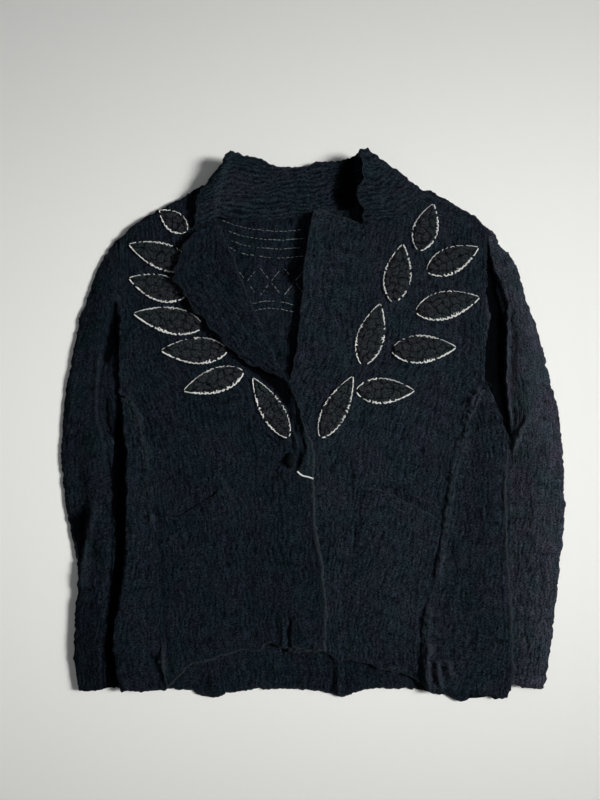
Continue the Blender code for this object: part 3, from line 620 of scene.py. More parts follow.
LEFT_CREASES: tuple[Crease, ...] = (
    Crease(((143, -271), (146, -287)), 4.6, 4.4, 0.5),
    Crease(((143, -291), (142, -308), (144, -328)), 4.2, 3.4, 0.5),
    Crease(((155, -292), (156, -309), (160, -326)), 4.2, 3.4, 0.5),
    Crease(((167, -292), (169, -304), (173, -314)), 3.0, 3.4, 0.35),
    Crease(((149, -291), (148.5, -308), (151, -323)), -1.6, 1.8),
    Crease(((160, -296), (161.5, -308), (165, -318)), -1.5, 1.8),
    Crease(((136, -270), (135, -292), (135, -325)), -1.8, 2.6),
    Crease(((167, -72), (162, -112), (156, -150), (147, -200)), -1.3, 1.7),
    Crease(((141, -212), (134, -240), (132, -268)), -1.5, 2.0),
    Crease(((66, -72), (94, -79), (124, -94), (150, -110)), -1.2, 2.6),
    Crease(((66, -72), (58, -110), (50, -160)), -1.0, 2.4),
    Crease(((241, -20), (238, -90), (240, -170), (246, -250), (246, -330)), 1.0, 1.7, 0.75))
LEFT_SLEEVE_CREASES: tuple[Crease, ...] = (
    Crease(((268, 12), (258, -8), (247, -38)), 2.4, 3.2, 0.3),
    Crease(((238, 160), (242, 120), (240, 70), (242, 26), (247, -10)), 2.6, 3.4, 0.2),
    Crease(((262, 150), (276, 80), (282, 0)), 1.4, 5.0), Crease(((290, 20), (296, -60)), 1.2, 5.0))
RIGHT_SLEEVE_CREASES: tuple[Crease, ...] = (
    Crease(ELBOW_EDGE, 3.2, 6.0, 0.12),
    Crease(((-264, 100), (-267, 40), (-262, -10), (-256, -60)), 2.0, 4.0, 0.12),
    Crease(((-292, 120), (-298, 60), (-300, 0)), 1.4, 6.0))
COLLAR_CREASES: tuple[Crease, ...] = (
    Crease(((-99, 339), (-109, 312), (-119, 276), (-124, 256)), 2.6, 3.4),)


# Unevenness of every panel's plan. Columns: axis that moves, rise, wave lengths in x and y, seed.
DRIFT_WAVES: Places = (
    (0, 1.4, 12, 8.5, 71), (0, 1.4, 31, 24, 72), (0, 0.8, 6, 5, 75), (1, 1.2, 8, 12, 73),
    (1, 1.5, 24, 33, 74), (1, 0.8, 5, 6, 76), (0, 1.0, 3.9, 3.9, 77), (1, 1.0, 3.9, 3.9, 78))


def drift(places: np.ndarray) -> np.ndarray:
    """Return places moved a little in plan, alike for all panels, so that edges run unevenly.

    Args:
        places: Grid of places, in millimetres.

    Returns:
        The moved grid.
    """
    x, y = places[..., 0], places[..., 1]
    moved = places.copy()
    for axis, rise, length_x, length_y, seed in DRIFT_WAVES:
        moved[..., axis] += rise * Noise.wave(x / length_x, y / length_y, seed)
    return moved


def add_object(name: str, data: bpy.types.ID) -> bpy.types.Object:
    """Return a new object of the given data, linked to the scene.

    Args:
        name: The object's name.
        data: Its mesh, curve, lamp or camera.

    Returns:
        The object.
    """
    added = bpy.data.objects.new(name, data)
    bpy.context.scene.collection.objects.link(added)
    return added


def new_finish(name: str, roughness: float, specular: float) -> bpy.types.Material:
    """Return a new material with its roughness and specular level set.

    Args:
        name: The material's name.
        roughness: The shader's roughness.
        specular: The shader's specular level.

    Returns:
        The material.
    """
    finish = bpy.data.materials.new(name)
    finish.use_nodes = True
    shader = finish.node_tree.nodes["Principled BSDF"]
    shader.inputs["Roughness"].default_value = roughness
    shader.inputs["Specular IOR Level"].default_value = specular
    return finish


def add_bump(finish: bpy.types.Material, height: bpy.types.NodeSocket, strength: float,
             distance: float) -> None:
    """Lead a height to the shader's normal.

    Args:
        finish: The material.
        height: The socket that gives the height.
        strength: The bump's strength.
        distance: The bump's distance, in metres.
    """
    nodes, links = finish.node_tree.nodes, finish.node_tree.links
    bump = nodes.new("ShaderNodeBump")
    bump.inputs["Strength"].default_value = strength
    bump.inputs["Distance"].default_value = distance
    links.new(height, bump.inputs["Height"])
    links.new(bump.outputs["Normal"], nodes["Principled BSDF"].inputs["Normal"])


@dataclass(frozen=True)
class ClothFinish:
    """Matt crinkled cotton, with painted shade in its hollows and painted light on its ridges."""

    name: str
    hollow: Colour
    ridge: Colour
    raw_edge_and_highlight: Colour
    roughness: float = 0.72
    specular: float = 0.02
    weave_pitch: float = 1400.0
    bump: float = 0.8
    bump_distance: float = 0.0012

    def build(self, groups: "ShaderGroups") -> bpy.types.Material:
        """Return the material.

        Args:
            groups: The shared node groups.

        Returns:
            A new material that reads the piece's relief and edge attributes and its UV map.
        """
        finish = new_finish(self.name, self.roughness, self.specular)
        nodes, links = finish.node_tree.nodes, finish.node_tree.links
        uv = nodes.new("ShaderNodeUVMap")
        uv.uv_map = "cloth"
        tone_and_shade = nodes.new("ShaderNodeGroup")
        tone_and_shade.node_tree = groups.cloth_tone_and_painted_shade
        for socket, tone in (("Hollow", self.hollow), ("Ridge", self.ridge), ("Raw Edge And Highlight", self.raw_edge_and_highlight)):
            tone_and_shade.inputs[socket].default_value = (*tone, 1.0)
        for layer, socket in (("relief", "Relief"), ("raw_edge_and_highlight", "Edge"), ("painted_shade", "Depth")):
            attribute = nodes.new("ShaderNodeAttribute")
            attribute.attribute_name = layer
            links.new(attribute.outputs["Fac"], tone_and_shade.inputs[socket])
        links.new(uv.outputs["UV"], tone_and_shade.inputs["Vector"])
        links.new(tone_and_shade.outputs["Color"], nodes["Principled BSDF"].inputs["Base Color"])
        weave = nodes.new("ShaderNodeGroup")
        weave.node_tree = groups.weave
        weave.inputs["Pitch"].default_value = self.weave_pitch
        links.new(uv.outputs["UV"], weave.inputs["Vector"])
        add_bump(finish, weave.outputs["Height"], self.bump, self.bump_distance)
        return finish


@dataclass(frozen=True)
class ThreadFinish:
    """Matt thick cotton thread, a little uneven in tone."""

    name: str
    light: Colour
    dark: Colour
    roughness: float = 0.8
    specular: float = 0.2
    bump: float = 0.5
    bump_distance: float = 0.0003

    def build(self, groups: "ShaderGroups") -> bpy.types.Material:
        """Return the material.

        Args:
            groups: The shared node groups.

        Returns:
            A new material that reads Object coordinates.
        """
        finish = new_finish(self.name, self.roughness, self.specular)
        nodes, links = finish.node_tree.nodes, finish.node_tree.links
        place = nodes.new("ShaderNodeTexCoord")
        tone = nodes.new("ShaderNodeGroup")
        tone.node_tree = groups.twist
        tone.inputs["Light"].default_value = (*self.light, 1.0)
        tone.inputs["Dark"].default_value = (*self.dark, 1.0)
        links.new(place.outputs["Object"], tone.inputs["Vector"])
        links.new(tone.outputs["Color"], nodes["Principled BSDF"].inputs["Base Color"])
        add_bump(finish, tone.outputs["Height"], self.bump, self.bump_distance)
        return finish


@dataclass(frozen=True)
class FloorFinish:
    """A plain pale surface with hardly any mottling."""

    name: str = "pale_floor"
    tone: Colour = (0.80, 0.805, 0.78)
    mottling: float = 0.015
    cloud_scale: float = 3.0
    cloud_detail: float = 3.0
    roughness: float = 0.9
    specular: float = 0.1

    def build(self) -> bpy.types.Material:
        """Return the material."""
        finish = new_finish(self.name, self.roughness, self.specular)
        nodes, links = finish.node_tree.nodes, finish.node_tree.links
        place = nodes.new("ShaderNodeTexCoord")
        cloud = nodes.new("ShaderNodeTexNoise")
        cloud.inputs["Scale"].default_value = self.cloud_scale
        cloud.inputs["Detail"].default_value = self.cloud_detail
        ramp = nodes.new("ShaderNodeMix")
        ramp.data_type = "RGBA"
        for socket, level in (("A", 1 - self.mottling), ("B", 1 + self.mottling)):
            ramp.inputs[socket].default_value = (*[value * level for value in self.tone], 1.0)
        links.new(place.outputs["Object"], cloud.inputs["Vector"])
        links.new(cloud.outputs["Fac"], ramp.inputs["Factor"])
        links.new(ramp.outputs["Result"], nodes["Principled BSDF"].inputs["Base Color"])
        return finish


class ShaderGroups:
    """Node groups that several finishes share.

    Each range gives the values that are mapped and what they are mapped to.
    """

    # Relief mapped to the share of the ridge tone: painted shade in the hollows, painted light on the
    # crests.
    CREST_RANGE = (0.18, 0.85, 0.0, 1.0)
    FADE_SCALE = 14.0
    FADE_RANGE = (0.42, 0.72, 0.0, 0.22)
    YARN_ALONG_SCALE = 860.0
    YARN_ACROSS_SCALE = 780.0
    YARN_STRETCH = 0.45
    YARN_ALONG_SHARE = 0.75
    YARN_RANGE = (0.69, 1.08, 0.24, 2.15)
    WARM_TINT = (1.20, 0.96, 1.04, 1.0)
    COOL_TINT = (0.86, 1.03, 0.94, 1.0)
    TINT_SCALE = 22.0
    TINT_RANGE = (0.38, 0.62, 0.0, 1.0)
    RAGGED_SCALE = 900.0
    RAGGED_RANGE = (0.35, 0.6, 0.25, 1.0)
    # Near-black tone of the painted shade in deep hollows.
    UNLIT = (0.0001, 0.0003, 0.0012, 1.0)
    SLUB_SCALE = 420.0
    WEAVE_SHARE = 0.35
    FIBRE_SCALE = 1500.0
    FIBRE_RANGE = (0.35, 0.65, 0.0, 1.0)

    def __init__(self) -> None:
        """Build the groups."""
        self.cloth_tone_and_painted_shade = self._cloth_tone_and_painted_shade()
        self.weave = self._weave()
        self.twist = self._twist()

    @staticmethod
    def _tree(name: str, inputs: dict[str, str], outputs: dict[str, str]) -> bpy.types.ShaderNodeTree:
        """Return an empty group with named sockets.

        Args:
            name: The group's name.
            inputs: Type of each input, by its name.
            outputs: Type of each output, by its name.

        Returns:
            The group.
        """
        tree = bpy.data.node_groups.new(name, "ShaderNodeTree")
        for label, kind in inputs.items():
            tree.interface.new_socket(label, in_out="INPUT", socket_type=kind)
        for label, kind in outputs.items():
            tree.interface.new_socket(label, in_out="OUTPUT", socket_type=kind)
        return tree

    @staticmethod
    def _mix(tree: bpy.types.ShaderNodeTree, factor: Source, first: Source, second: Source,
             blend: str = "MIX") -> bpy.types.NodeSocket:
        """Return the output of a colour mix.

        Args:
            tree: The group.
            factor: Share of the second, as a socket or a value.
            first: First colour, as a socket or a value.
            second: Second colour, as a socket or a value.
            blend: How the second is laid on the first.

        Returns:
            The mix's output socket.
        """
        node = tree.nodes.new("ShaderNodeMix")
        node.data_type = "RGBA"
        node.blend_type = blend
        for label, source in (("Factor", factor), ("A", first), ("B", second)):
            if isinstance(source, bpy.types.NodeSocket):
                tree.links.new(source, node.inputs[label])
            else:
                node.inputs[label].default_value = source
        return node.outputs["Result"]

    @staticmethod
    def _noise(tree: bpy.types.ShaderNodeTree, vector: bpy.types.NodeSocket, scale: float,
               detail: float) -> bpy.types.NodeSocket:
        """Return the output of a noise texture.

        Args:
            tree: The group.
            vector: Where the noise is read.
            scale: Its cells in a metre.
            detail: How many finer octaves it has.

        Returns:
            The noise's output socket.
        """
        node = tree.nodes.new("ShaderNodeTexNoise")
        node.inputs["Scale"].default_value = scale
        node.inputs["Detail"].default_value = detail
        tree.links.new(vector, node.inputs["Vector"])
        return node.outputs["Fac"]

    @staticmethod
    def _range(tree: bpy.types.ShaderNodeTree, value: bpy.types.NodeSocket,
               span: tuple[float, float, float, float]) -> bpy.types.NodeSocket:
        """Return a value mapped from one range to another, held inside it.

        Args:
            tree: The group.
            value: The value that is mapped.
            span: Lowest and highest value, and what each of them becomes.

        Returns:
            The mapped value's socket.
        """
        node = tree.nodes.new("ShaderNodeMapRange")
        for label, limit in zip(("From Min", "From Max", "To Min", "To Max"), span):
            node.inputs[label].default_value = limit
        tree.links.new(value, node.inputs["Value"])
        return node.outputs["Result"]

    @staticmethod
    def _stretched(tree: bpy.types.ShaderNodeTree, vector: bpy.types.NodeSocket, across: float,
                   along: float) -> bpy.types.NodeSocket:
        """Return a vector scaled by different amounts across and along the ridges.

        Args:
            tree: The group.
            vector: The vector.
            across: Scale across the ridges.
            along: Scale along the ridges.

        Returns:
            The scaled vector's socket.
        """
        node = tree.nodes.new("ShaderNodeMapping")
        node.inputs["Scale"].default_value = (across, along, 1.0)
        tree.links.new(vector, node.inputs["Vector"])
        return node.outputs["Vector"]

    @staticmethod
    def _math(tree: bpy.types.ShaderNodeTree, operation: str, *values: Source) -> bpy.types.NodeSocket:
        """Return the result of a sum on sockets and values.

        Args:
            tree: The group.
            operation: The sum's name.
            values: What it works on, as sockets or values.

        Returns:
            The result's socket.
        """
        node = tree.nodes.new("ShaderNodeMath")
        node.operation = operation
        for number, value in enumerate(values):
            if isinstance(value, bpy.types.NodeSocket):
                tree.links.new(value, node.inputs[number])
            else:
                node.inputs[number].default_value = value
        return node.outputs[0]

    def _cloth_tone_and_painted_shade(self) -> bpy.types.ShaderNodeTree:
        """Return the group that tones cloth by its relief, with painted shade in the hollows and painted
        light on the crests, by its raw edge and painted highlights, by uneven fading and by painted shade
        in deep hollows.
        """
        tree = self._tree("cloth tone and painted shade", {
            "Vector": "NodeSocketVector", "Relief": "NodeSocketFloat", "Edge": "NodeSocketFloat",
            "Depth": "NodeSocketFloat",
            "Hollow": "NodeSocketColor", "Ridge": "NodeSocketColor", "Raw Edge And Highlight": "NodeSocketColor",
        }, {"Color": "NodeSocketColor"})
        given = tree.nodes.new("NodeGroupInput").outputs
        result = tree.nodes.new("NodeGroupOutput")
        # Painted shade in the crinkle's hollows and painted light on its crests.
        crest = self._range(tree, given["Relief"], self.CREST_RANGE)
        cloth = self._mix(tree, crest, given["Hollow"], given["Ridge"])
        faded = self._noise(tree, given["Vector"], self.FADE_SCALE, 4.0)
        cloth = self._mix(tree, self._range(tree, faded, self.FADE_RANGE), cloth, given["Ridge"])
        upright = self._stretched(tree, given["Vector"], 1.0, self.YARN_STRETCH)
        level = self._stretched(tree, given["Vector"], self.YARN_STRETCH, 1.0)
        along = self._noise(tree, upright, self.YARN_ALONG_SCALE, 2.0)
        across = self._noise(tree, level, self.YARN_ACROSS_SCALE, 2.0)
        yarn = self._math(tree, "MULTIPLY_ADD", along, self.YARN_ALONG_SHARE, across)
        cloth = self._mix(tree, 1.0, cloth, self._range(tree, yarn, self.YARN_RANGE), "MULTIPLY")
        patchy = self._noise(tree, given["Vector"], self.TINT_SCALE, 5.0)
        tint_share = self._range(tree, patchy, self.TINT_RANGE)
        tint = self._mix(tree, tint_share, self.WARM_TINT, self.COOL_TINT)
        cloth = self._mix(tree, 1.0, cloth, tint, "MULTIPLY")
        torn = self._noise(tree, given["Vector"], self.RAGGED_SCALE, 2.0)
        ragged = self._range(tree, torn, self.RAGGED_RANGE)
        # Raw edges and painted highlights on creases and seams take the raw edge tone.
        ragged_edge_and_highlight = self._math(tree, "MULTIPLY", given["Edge"], ragged)
        cloth = self._mix(tree, ragged_edge_and_highlight, cloth, given["Raw Edge And Highlight"])
        # Painted shade: deep hollows are mixed towards the near-black tone.
        cloth = self._mix(tree, given["Depth"], cloth, self.UNLIT)
        tree.links.new(cloth, result.inputs["Color"])
        return tree

    def _weave(self) -> bpy.types.ShaderNodeTree:
        """Return the group that makes a fine plain weave broken up by slubs."""
        tree = self._tree("plain weave", {"Vector": "NodeSocketVector", "Pitch": "NodeSocketFloat"},
                          {"Height": "NodeSocketFloat"})
        given = tree.nodes.new("NodeGroupInput").outputs
        result = tree.nodes.new("NodeGroupOutput")
        total = self._noise(tree, given["Vector"], self.SLUB_SCALE, 3.0)
        for direction in ("X", "Y"):
            wave = tree.nodes.new("ShaderNodeTexWave")
            wave.bands_direction = direction
            wave.inputs["Distortion"].default_value = 1.5
            wave.inputs["Detail Scale"].default_value = 2.0
            tree.links.new(given["Vector"], wave.inputs["Vector"])
            tree.links.new(given["Pitch"], wave.inputs["Scale"])
            total = self._math(tree, "MULTIPLY_ADD", wave.outputs["Fac"], self.WEAVE_SHARE, total)
        tree.links.new(total, result.inputs["Height"])
        return tree

    def _twist(self) -> bpy.types.ShaderNodeTree:
        """Return the group that tones thick thread."""
        tree = self._tree("twisted thread", {
            "Vector": "NodeSocketVector", "Light": "NodeSocketColor", "Dark": "NodeSocketColor",
        }, {"Color": "NodeSocketColor", "Height": "NodeSocketFloat"})
        given = tree.nodes.new("NodeGroupInput").outputs
        result = tree.nodes.new("NodeGroupOutput")
        fibre = self._noise(tree, given["Vector"], self.FIBRE_SCALE, 2.0)
        tone = self._mix(tree, self._range(tree, fibre, self.FIBRE_RANGE), given["Dark"],
                         given["Light"])
        tree.links.new(tone, result.inputs["Color"])
        tree.links.new(fibre, result.inputs["Height"])
        return tree


class Finishes:
    """All the materials, built once."""

    def __init__(self) -> None:
        """Build the shared groups and each finish."""
        groups = ShaderGroups()
        self.cloth = ClothFinish(
            "crinkled_cotton", (0.0013, 0.0024, 0.0040), (0.0124, 0.0195, 0.0279),
            (0.046, 0.054, 0.060)).build(groups)
        # A lighter copy of the cloth for the pieces on the side nearer the light: painted light.
        self.lit_side_cloth = ClothFinish(
            "crinkled_cotton_painted_lit", (0.0017, 0.0029, 0.0049), (0.0176, 0.0262, 0.0364),
            (0.046, 0.055, 0.062)).build(groups)
        # A lighter copy still for the sleeve that faces the light: painted light.
        self.lit_cloth = ClothFinish(
            "crinkled_cotton_painted_brighter", (0.0040, 0.0056, 0.0084), (0.0392, 0.0498, 0.0660),
            (0.054, 0.062, 0.072)).build(groups)
        self.leaf = ClothFinish(
            "crackled_cotton", (0.0009, 0.0013, 0.0017), (0.0205, 0.0262, 0.0300),
            (0.030, 0.034, 0.036)).build(groups)
        # A much darker copy of the cloth for the covered button: painted shade, as it sits partly in
        # shadow under the closing edge.
        self.button = ClothFinish(
            "button_cotton", (0.0008, 0.0012, 0.0014), (0.0034, 0.0050, 0.0056),
            (0.010, 0.012, 0.014)).build(groups)
        self.thread = ThreadFinish(
            "white_thread", (0.86, 0.86, 0.84), (0.50, 0.51, 0.50)).build(groups)
        self.grey_thread = ThreadFinish(
            "greyed_thread", (0.36, 0.37, 0.37), (0.13, 0.14, 0.15)).build(groups)
        self.floor = FloorFinish().build()


@dataclass
class Shell:
    """A panel of cloth: a smooth outer side, from which crinkle is raised and the wall hangs."""

    name: str
    outer: np.ndarray
    finish: bpy.types.Material
    nodes: tuple[str, ...]
    flat: tuple[float, float]
    rests_on: tuple[str, ...] = ()
    grain: Grain = Grain.DOWN
    rise: float = 1.15
    wall: float = WALL
    seed: int = 1
    ring: bool = False
    flat_below: bool = False
    open_edges: tuple[bool, bool, bool, bool] = (True, True, True, True)
    fabric_slot: str = "crinkled_cotton"
    area: float | None = None
    seams: tuple[Pucker, ...] = SEAMS
    creases: tuple[Crease, ...] = ()
    hollows: tuple[Hollow, ...] = ()
    sewn: tuple[bool, bool, bool, bool] = (False, False, False, False)
    sewn_drop: float = 2.1
    sewn_width: float = 8.0
    edge_tone: float = 1.0
    raw_below: float = 1000.0

    EDGE_BAND = 2.3
    BORDER_BAND = 2.6
    BORDER_CALM = 0.75
    RAW_FADE = 12.0
    SEAM_SEED = 31
    # Painted highlight on the puckers: the height where it starts, the span over which it grows, and its
    # most.
    PALE_FROM = 0.8
    PALE_SPAN = 8.0
    PALE_MOST = 0.35
    LOWEST_CREASE = -1.4
    HIGHEST_CREASE = 6.0
    HOLLOW_RELIEF = 0.6
    FACING = 0.2
    # Share of the fold height added to the relief's tone: painted light on raised creases, painted shade
    # in sunken ones.
    CREASE_TONE = 0.1
    BRIGHTEST_RELIEF = 1.6

    def relief(self, s: np.ndarray, t: np.ndarray) -> np.ndarray:
        """Return the crinkle of every place.

        Args:
            s: Travel across, in millimetres.
            t: Travel up, in millimetres.

        Returns:
            Relief from 0 to 1, of the same shape as s.
        """
        if self.grain is Grain.ACROSS:
            return Crinkle.relief(t, s, self.grain, self.seed)
        return Crinkle.relief(s, t, self.grain, self.seed)

    @staticmethod
    def edge_mask(s: np.ndarray, t: np.ndarray, edges: tuple[bool, bool, bool, bool],
                  width: float) -> np.ndarray:
        """Return 1 on the given edges and 0 past a width from them.

        Args:
            s: Travel across, in millimetres.
            t: Travel up, in millimetres.
            edges: Whether the low, high, left and right edges count.
            width: Width of the band, in millimetres.

        Returns:
            Mask of the same shape as s.
        """
        low, high, left, right = edges
        mask = np.zeros_like(s)
        if low:
            mask = np.maximum(mask, 1 - (t - t[:1]) / width)
        if high:
            mask = np.maximum(mask, 1 - (t[-1:] - t) / width)
        if left:
            mask = np.maximum(mask, 1 - (s - s[:, :1]) / width)
        if right:
            mask = np.maximum(mask, 1 - (s[:, -1:] - s) / width)
        return np.clip(mask, 0, 1)

    def seams_and_creases(self, x: np.ndarray, y: np.ndarray) -> tuple[np.ndarray, np.ndarray]:
        """Return what the seams and creases add.

        Args:
            x: Plan places, in millimetres.
            y: Plan places, in millimetres.

        Returns:
            Their height in millimetres, and their painted highlight, from 0 to 1.
        """
        height = np.zeros_like(x)
        for number, seam in enumerate(self.seams):
            height += seam.height(x, y, self.SEAM_SEED + number)
        painted_highlight = np.clip((height - self.PALE_FROM) / self.PALE_SPAN, 0, self.PALE_MOST)
        for crease in self.creases:
            weight = crease.weight(x, y)
            height += crease.rise * weight
            painted_highlight = np.maximum(painted_highlight, crease.pale * weight)
        return height, painted_highlight

    def sink_hollows_and_paint_shade(self, raised: np.ndarray, relief: np.ndarray, upward: np.ndarray) -> np.ndarray:
        """Sink the outer side in the hollows and work out their painted shade.

        Args:
            raised: Places of the outer side, which are moved.
            relief: The crinkle, from 0 to 1.
            upward: How far each place faces up, from 0 to 1.

        Returns:
            How much painted shade each place gets, from 0 to 1.
        """
        x, y = self.outer[..., 0], self.outer[..., 1]
        painted_shade = np.zeros_like(relief)
        for hollow in self.hollows:
            inside = hollow.mask(x, y)
            if hollow.floor is not None:
                inside = inside * np.clip(upward * 3, 0, 1)
                bottom = hollow.floor + self.HOLLOW_RELIEF * relief
                raised[..., 2] += (bottom - raised[..., 2]) * inside
            # Painted shade of the hollow.
            painted_shade = np.maximum(painted_shade, hollow.dark * inside)
        return painted_shade

    def inner_side(self, base: np.ndarray, raised: np.ndarray, normal: np.ndarray) -> np.ndarray:
        """Return the inner side of the wall, flat where the piece lies on the floor.

        Args:
            base: Places of the smooth outer side.
            raised: Places of the crinkled outer side.
            normal: Unit normals.

        Returns:
            Places that never come nearer to the outer side than the thinnest wall.
        """
        if self.flat_below:
            inner = base.copy()
            inner[..., 2] = self.outer[..., 2] - self.wall
            return inner
        inner = base - normal * self.wall
        height, facing = inner[..., 2], normal[..., 2]
        below = np.minimum(height, raised[..., 2] - THINNEST)
        above = np.maximum(height, raised[..., 2] + THINNEST)
        height = np.where(facing > self.FACING, below, np.where(facing < -self.FACING, above, height))
        inner[..., 2] = np.maximum(height, FLOOR_GAP)
        return inner

    def sides(self) -> tuple[np.ndarray, np.ndarray, dict[str, np.ndarray], np.ndarray, np.ndarray]:
        """Return outer places, inner places, the attributes' values and travel both ways."""
        s, t = along_and_across(self.outer)
        base = drift(self.outer)
        normal = normals_of(self.outer)
        relief = self.relief(s, t)
        x, y = self.outer[..., 0], self.outer[..., 1]
        edge = self.edge_mask(s, t, self.open_edges, self.EDGE_BAND)
        edge = edge * np.clip((self.raw_below - y) / self.RAW_FADE, 0, 1)
        hem = self.edge_mask(s, t, self.sewn, self.sewn_width)
        closed = (True, True, not self.ring, not self.ring)
        border = self.edge_mask(s, t, closed, self.BORDER_BAND)
        upward = np.clip(normal[..., 2], 0, 1)
        height, painted_highlight = self.seams_and_creases(x, y)
        crinkle = relief * self.rise * (1 - self.BORDER_CALM * border)
        folds = upward * np.clip(height, self.LOWEST_CREASE, self.HIGHEST_CREASE)
        raised = base + normal * crinkle[..., None] + normal * folds[..., None]
        raised[..., 2] -= hem * hem * (3 - 2 * hem) * self.sewn_drop
        painted_shade = self.sink_hollows_and_paint_shade(raised, relief, upward)
        raised[..., 2] = np.maximum(raised[..., 2], FLOOR_GAP)
        inner = self.inner_side(base, raised, normal)
        # The relief's tone paints shade in hollows and light on crests and raised creases; painted
        # highlights join the raw edges; the last layer is the painted shade of deep hollows.
        layers = {"relief": np.clip(relief + self.CREASE_TONE * height, 0, self.BRIGHTEST_RELIEF),
                  "raw_edge_and_highlight": np.maximum(edge * self.edge_tone, painted_highlight), "painted_shade": painted_shade}
        return raised, inner, layers, s, t

    def build(self) -> bpy.types.Object:
        """Return the finished piece, riding on the body."""
        raised, inner, layers, s, t = self.sides()
        rows, columns = s.shape
        shell = bmesh.new()
        bmesh.ops.create_grid(shell, x_segments=columns - 1, y_segments=rows - 1, size=0.5)
        place = shell.verts.layers.int.new("place")
        inner_metres = to_metres(inner.reshape(-1, 3))
        for number, vertex in enumerate(shell.verts):
            vertex[place] = number
            vertex.co = inner_metres[number]
        if self.ring:
            bmesh.ops.remove_doubles(shell, verts=shell.verts, dist=0.00001)
        made = bmesh.ops.extrude_face_region(shell, geom=list(shell.faces), use_keep_orig=True)
        total = rows * columns
        for item in made["geom"]:
            if isinstance(item, bmesh.types.BMVert):
                item[place] += total
        mesh = bpy.data.meshes.new(self.name)
        shell.to_mesh(mesh)
        shell.free()
        self._set_points(mesh, raised, inner, layers, s, t)
        piece = add_object(self.name, mesh)
        mesh.materials.append(self.finish)
        fix_normals(mesh)
        mesh.shade_smooth()
        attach(piece, BODY)
        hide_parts(*self.nodes)
        list(self.rests_on)
        LOG.info("%s: %d faces", self.name, len(mesh.polygons))
        return piece

    @staticmethod
    def _set_points(mesh: bpy.types.Mesh, raised: np.ndarray, inner: np.ndarray,
                    layers: dict[str, np.ndarray], s: np.ndarray, t: np.ndarray) -> None:
        """Set the mesh's places, attributes and UV map from the grids."""
        total = s.size
        place = np.zeros(len(mesh.vertices), dtype=np.int32)
        mesh.attributes["place"].data.foreach_get("value", place)
        both = np.vstack([to_metres(inner.reshape(-1, 3)), to_metres(raised.reshape(-1, 3))])
        mesh.vertices.foreach_set("co", both[place].astype(np.float32).ravel())
        spot = place % total
        for label, values in layers.items():
            attribute = mesh.attributes.new(label, "FLOAT", "POINT")
            attribute.data.foreach_set("value", values.ravel()[spot].astype(np.float32))
        layer = mesh.uv_layers.new(name="cloth")
        corner = np.zeros(len(mesh.loops), dtype=np.int32)
        mesh.loops.foreach_get("vertex_index", corner)
        travel = np.stack([s.ravel(), t.ravel()], axis=1) * MM
        layer.data.foreach_set("uv", travel[spot][corner].astype(np.float32).ravel())


def fix_normals(mesh: bpy.types.Mesh) -> None:
    """Turn every face of a closed mesh outwards."""
    solid = bmesh.new()
    solid.from_mesh(mesh)
    bmesh.ops.recalc_face_normals(solid, faces=solid.faces)
    solid.to_mesh(mesh)
    solid.free()


def lift_plan(plan: np.ndarray, heights: np.ndarray) -> np.ndarray:
    """Return plan places with heights."""
    return np.dstack([plan, heights])


def spaced(fine_from: float, fine_to: float, fine: int, coarse: int) -> np.ndarray:
    """Return shares from 0 to 1 that are dense before fine_from and after fine_to."""
    first = np.linspace(0, fine_from, fine, endpoint=False)
    middle = np.linspace(fine_from, fine_to, coarse, endpoint=False)
    return np.concatenate([first, middle, np.linspace(fine_to, 1, fine)])


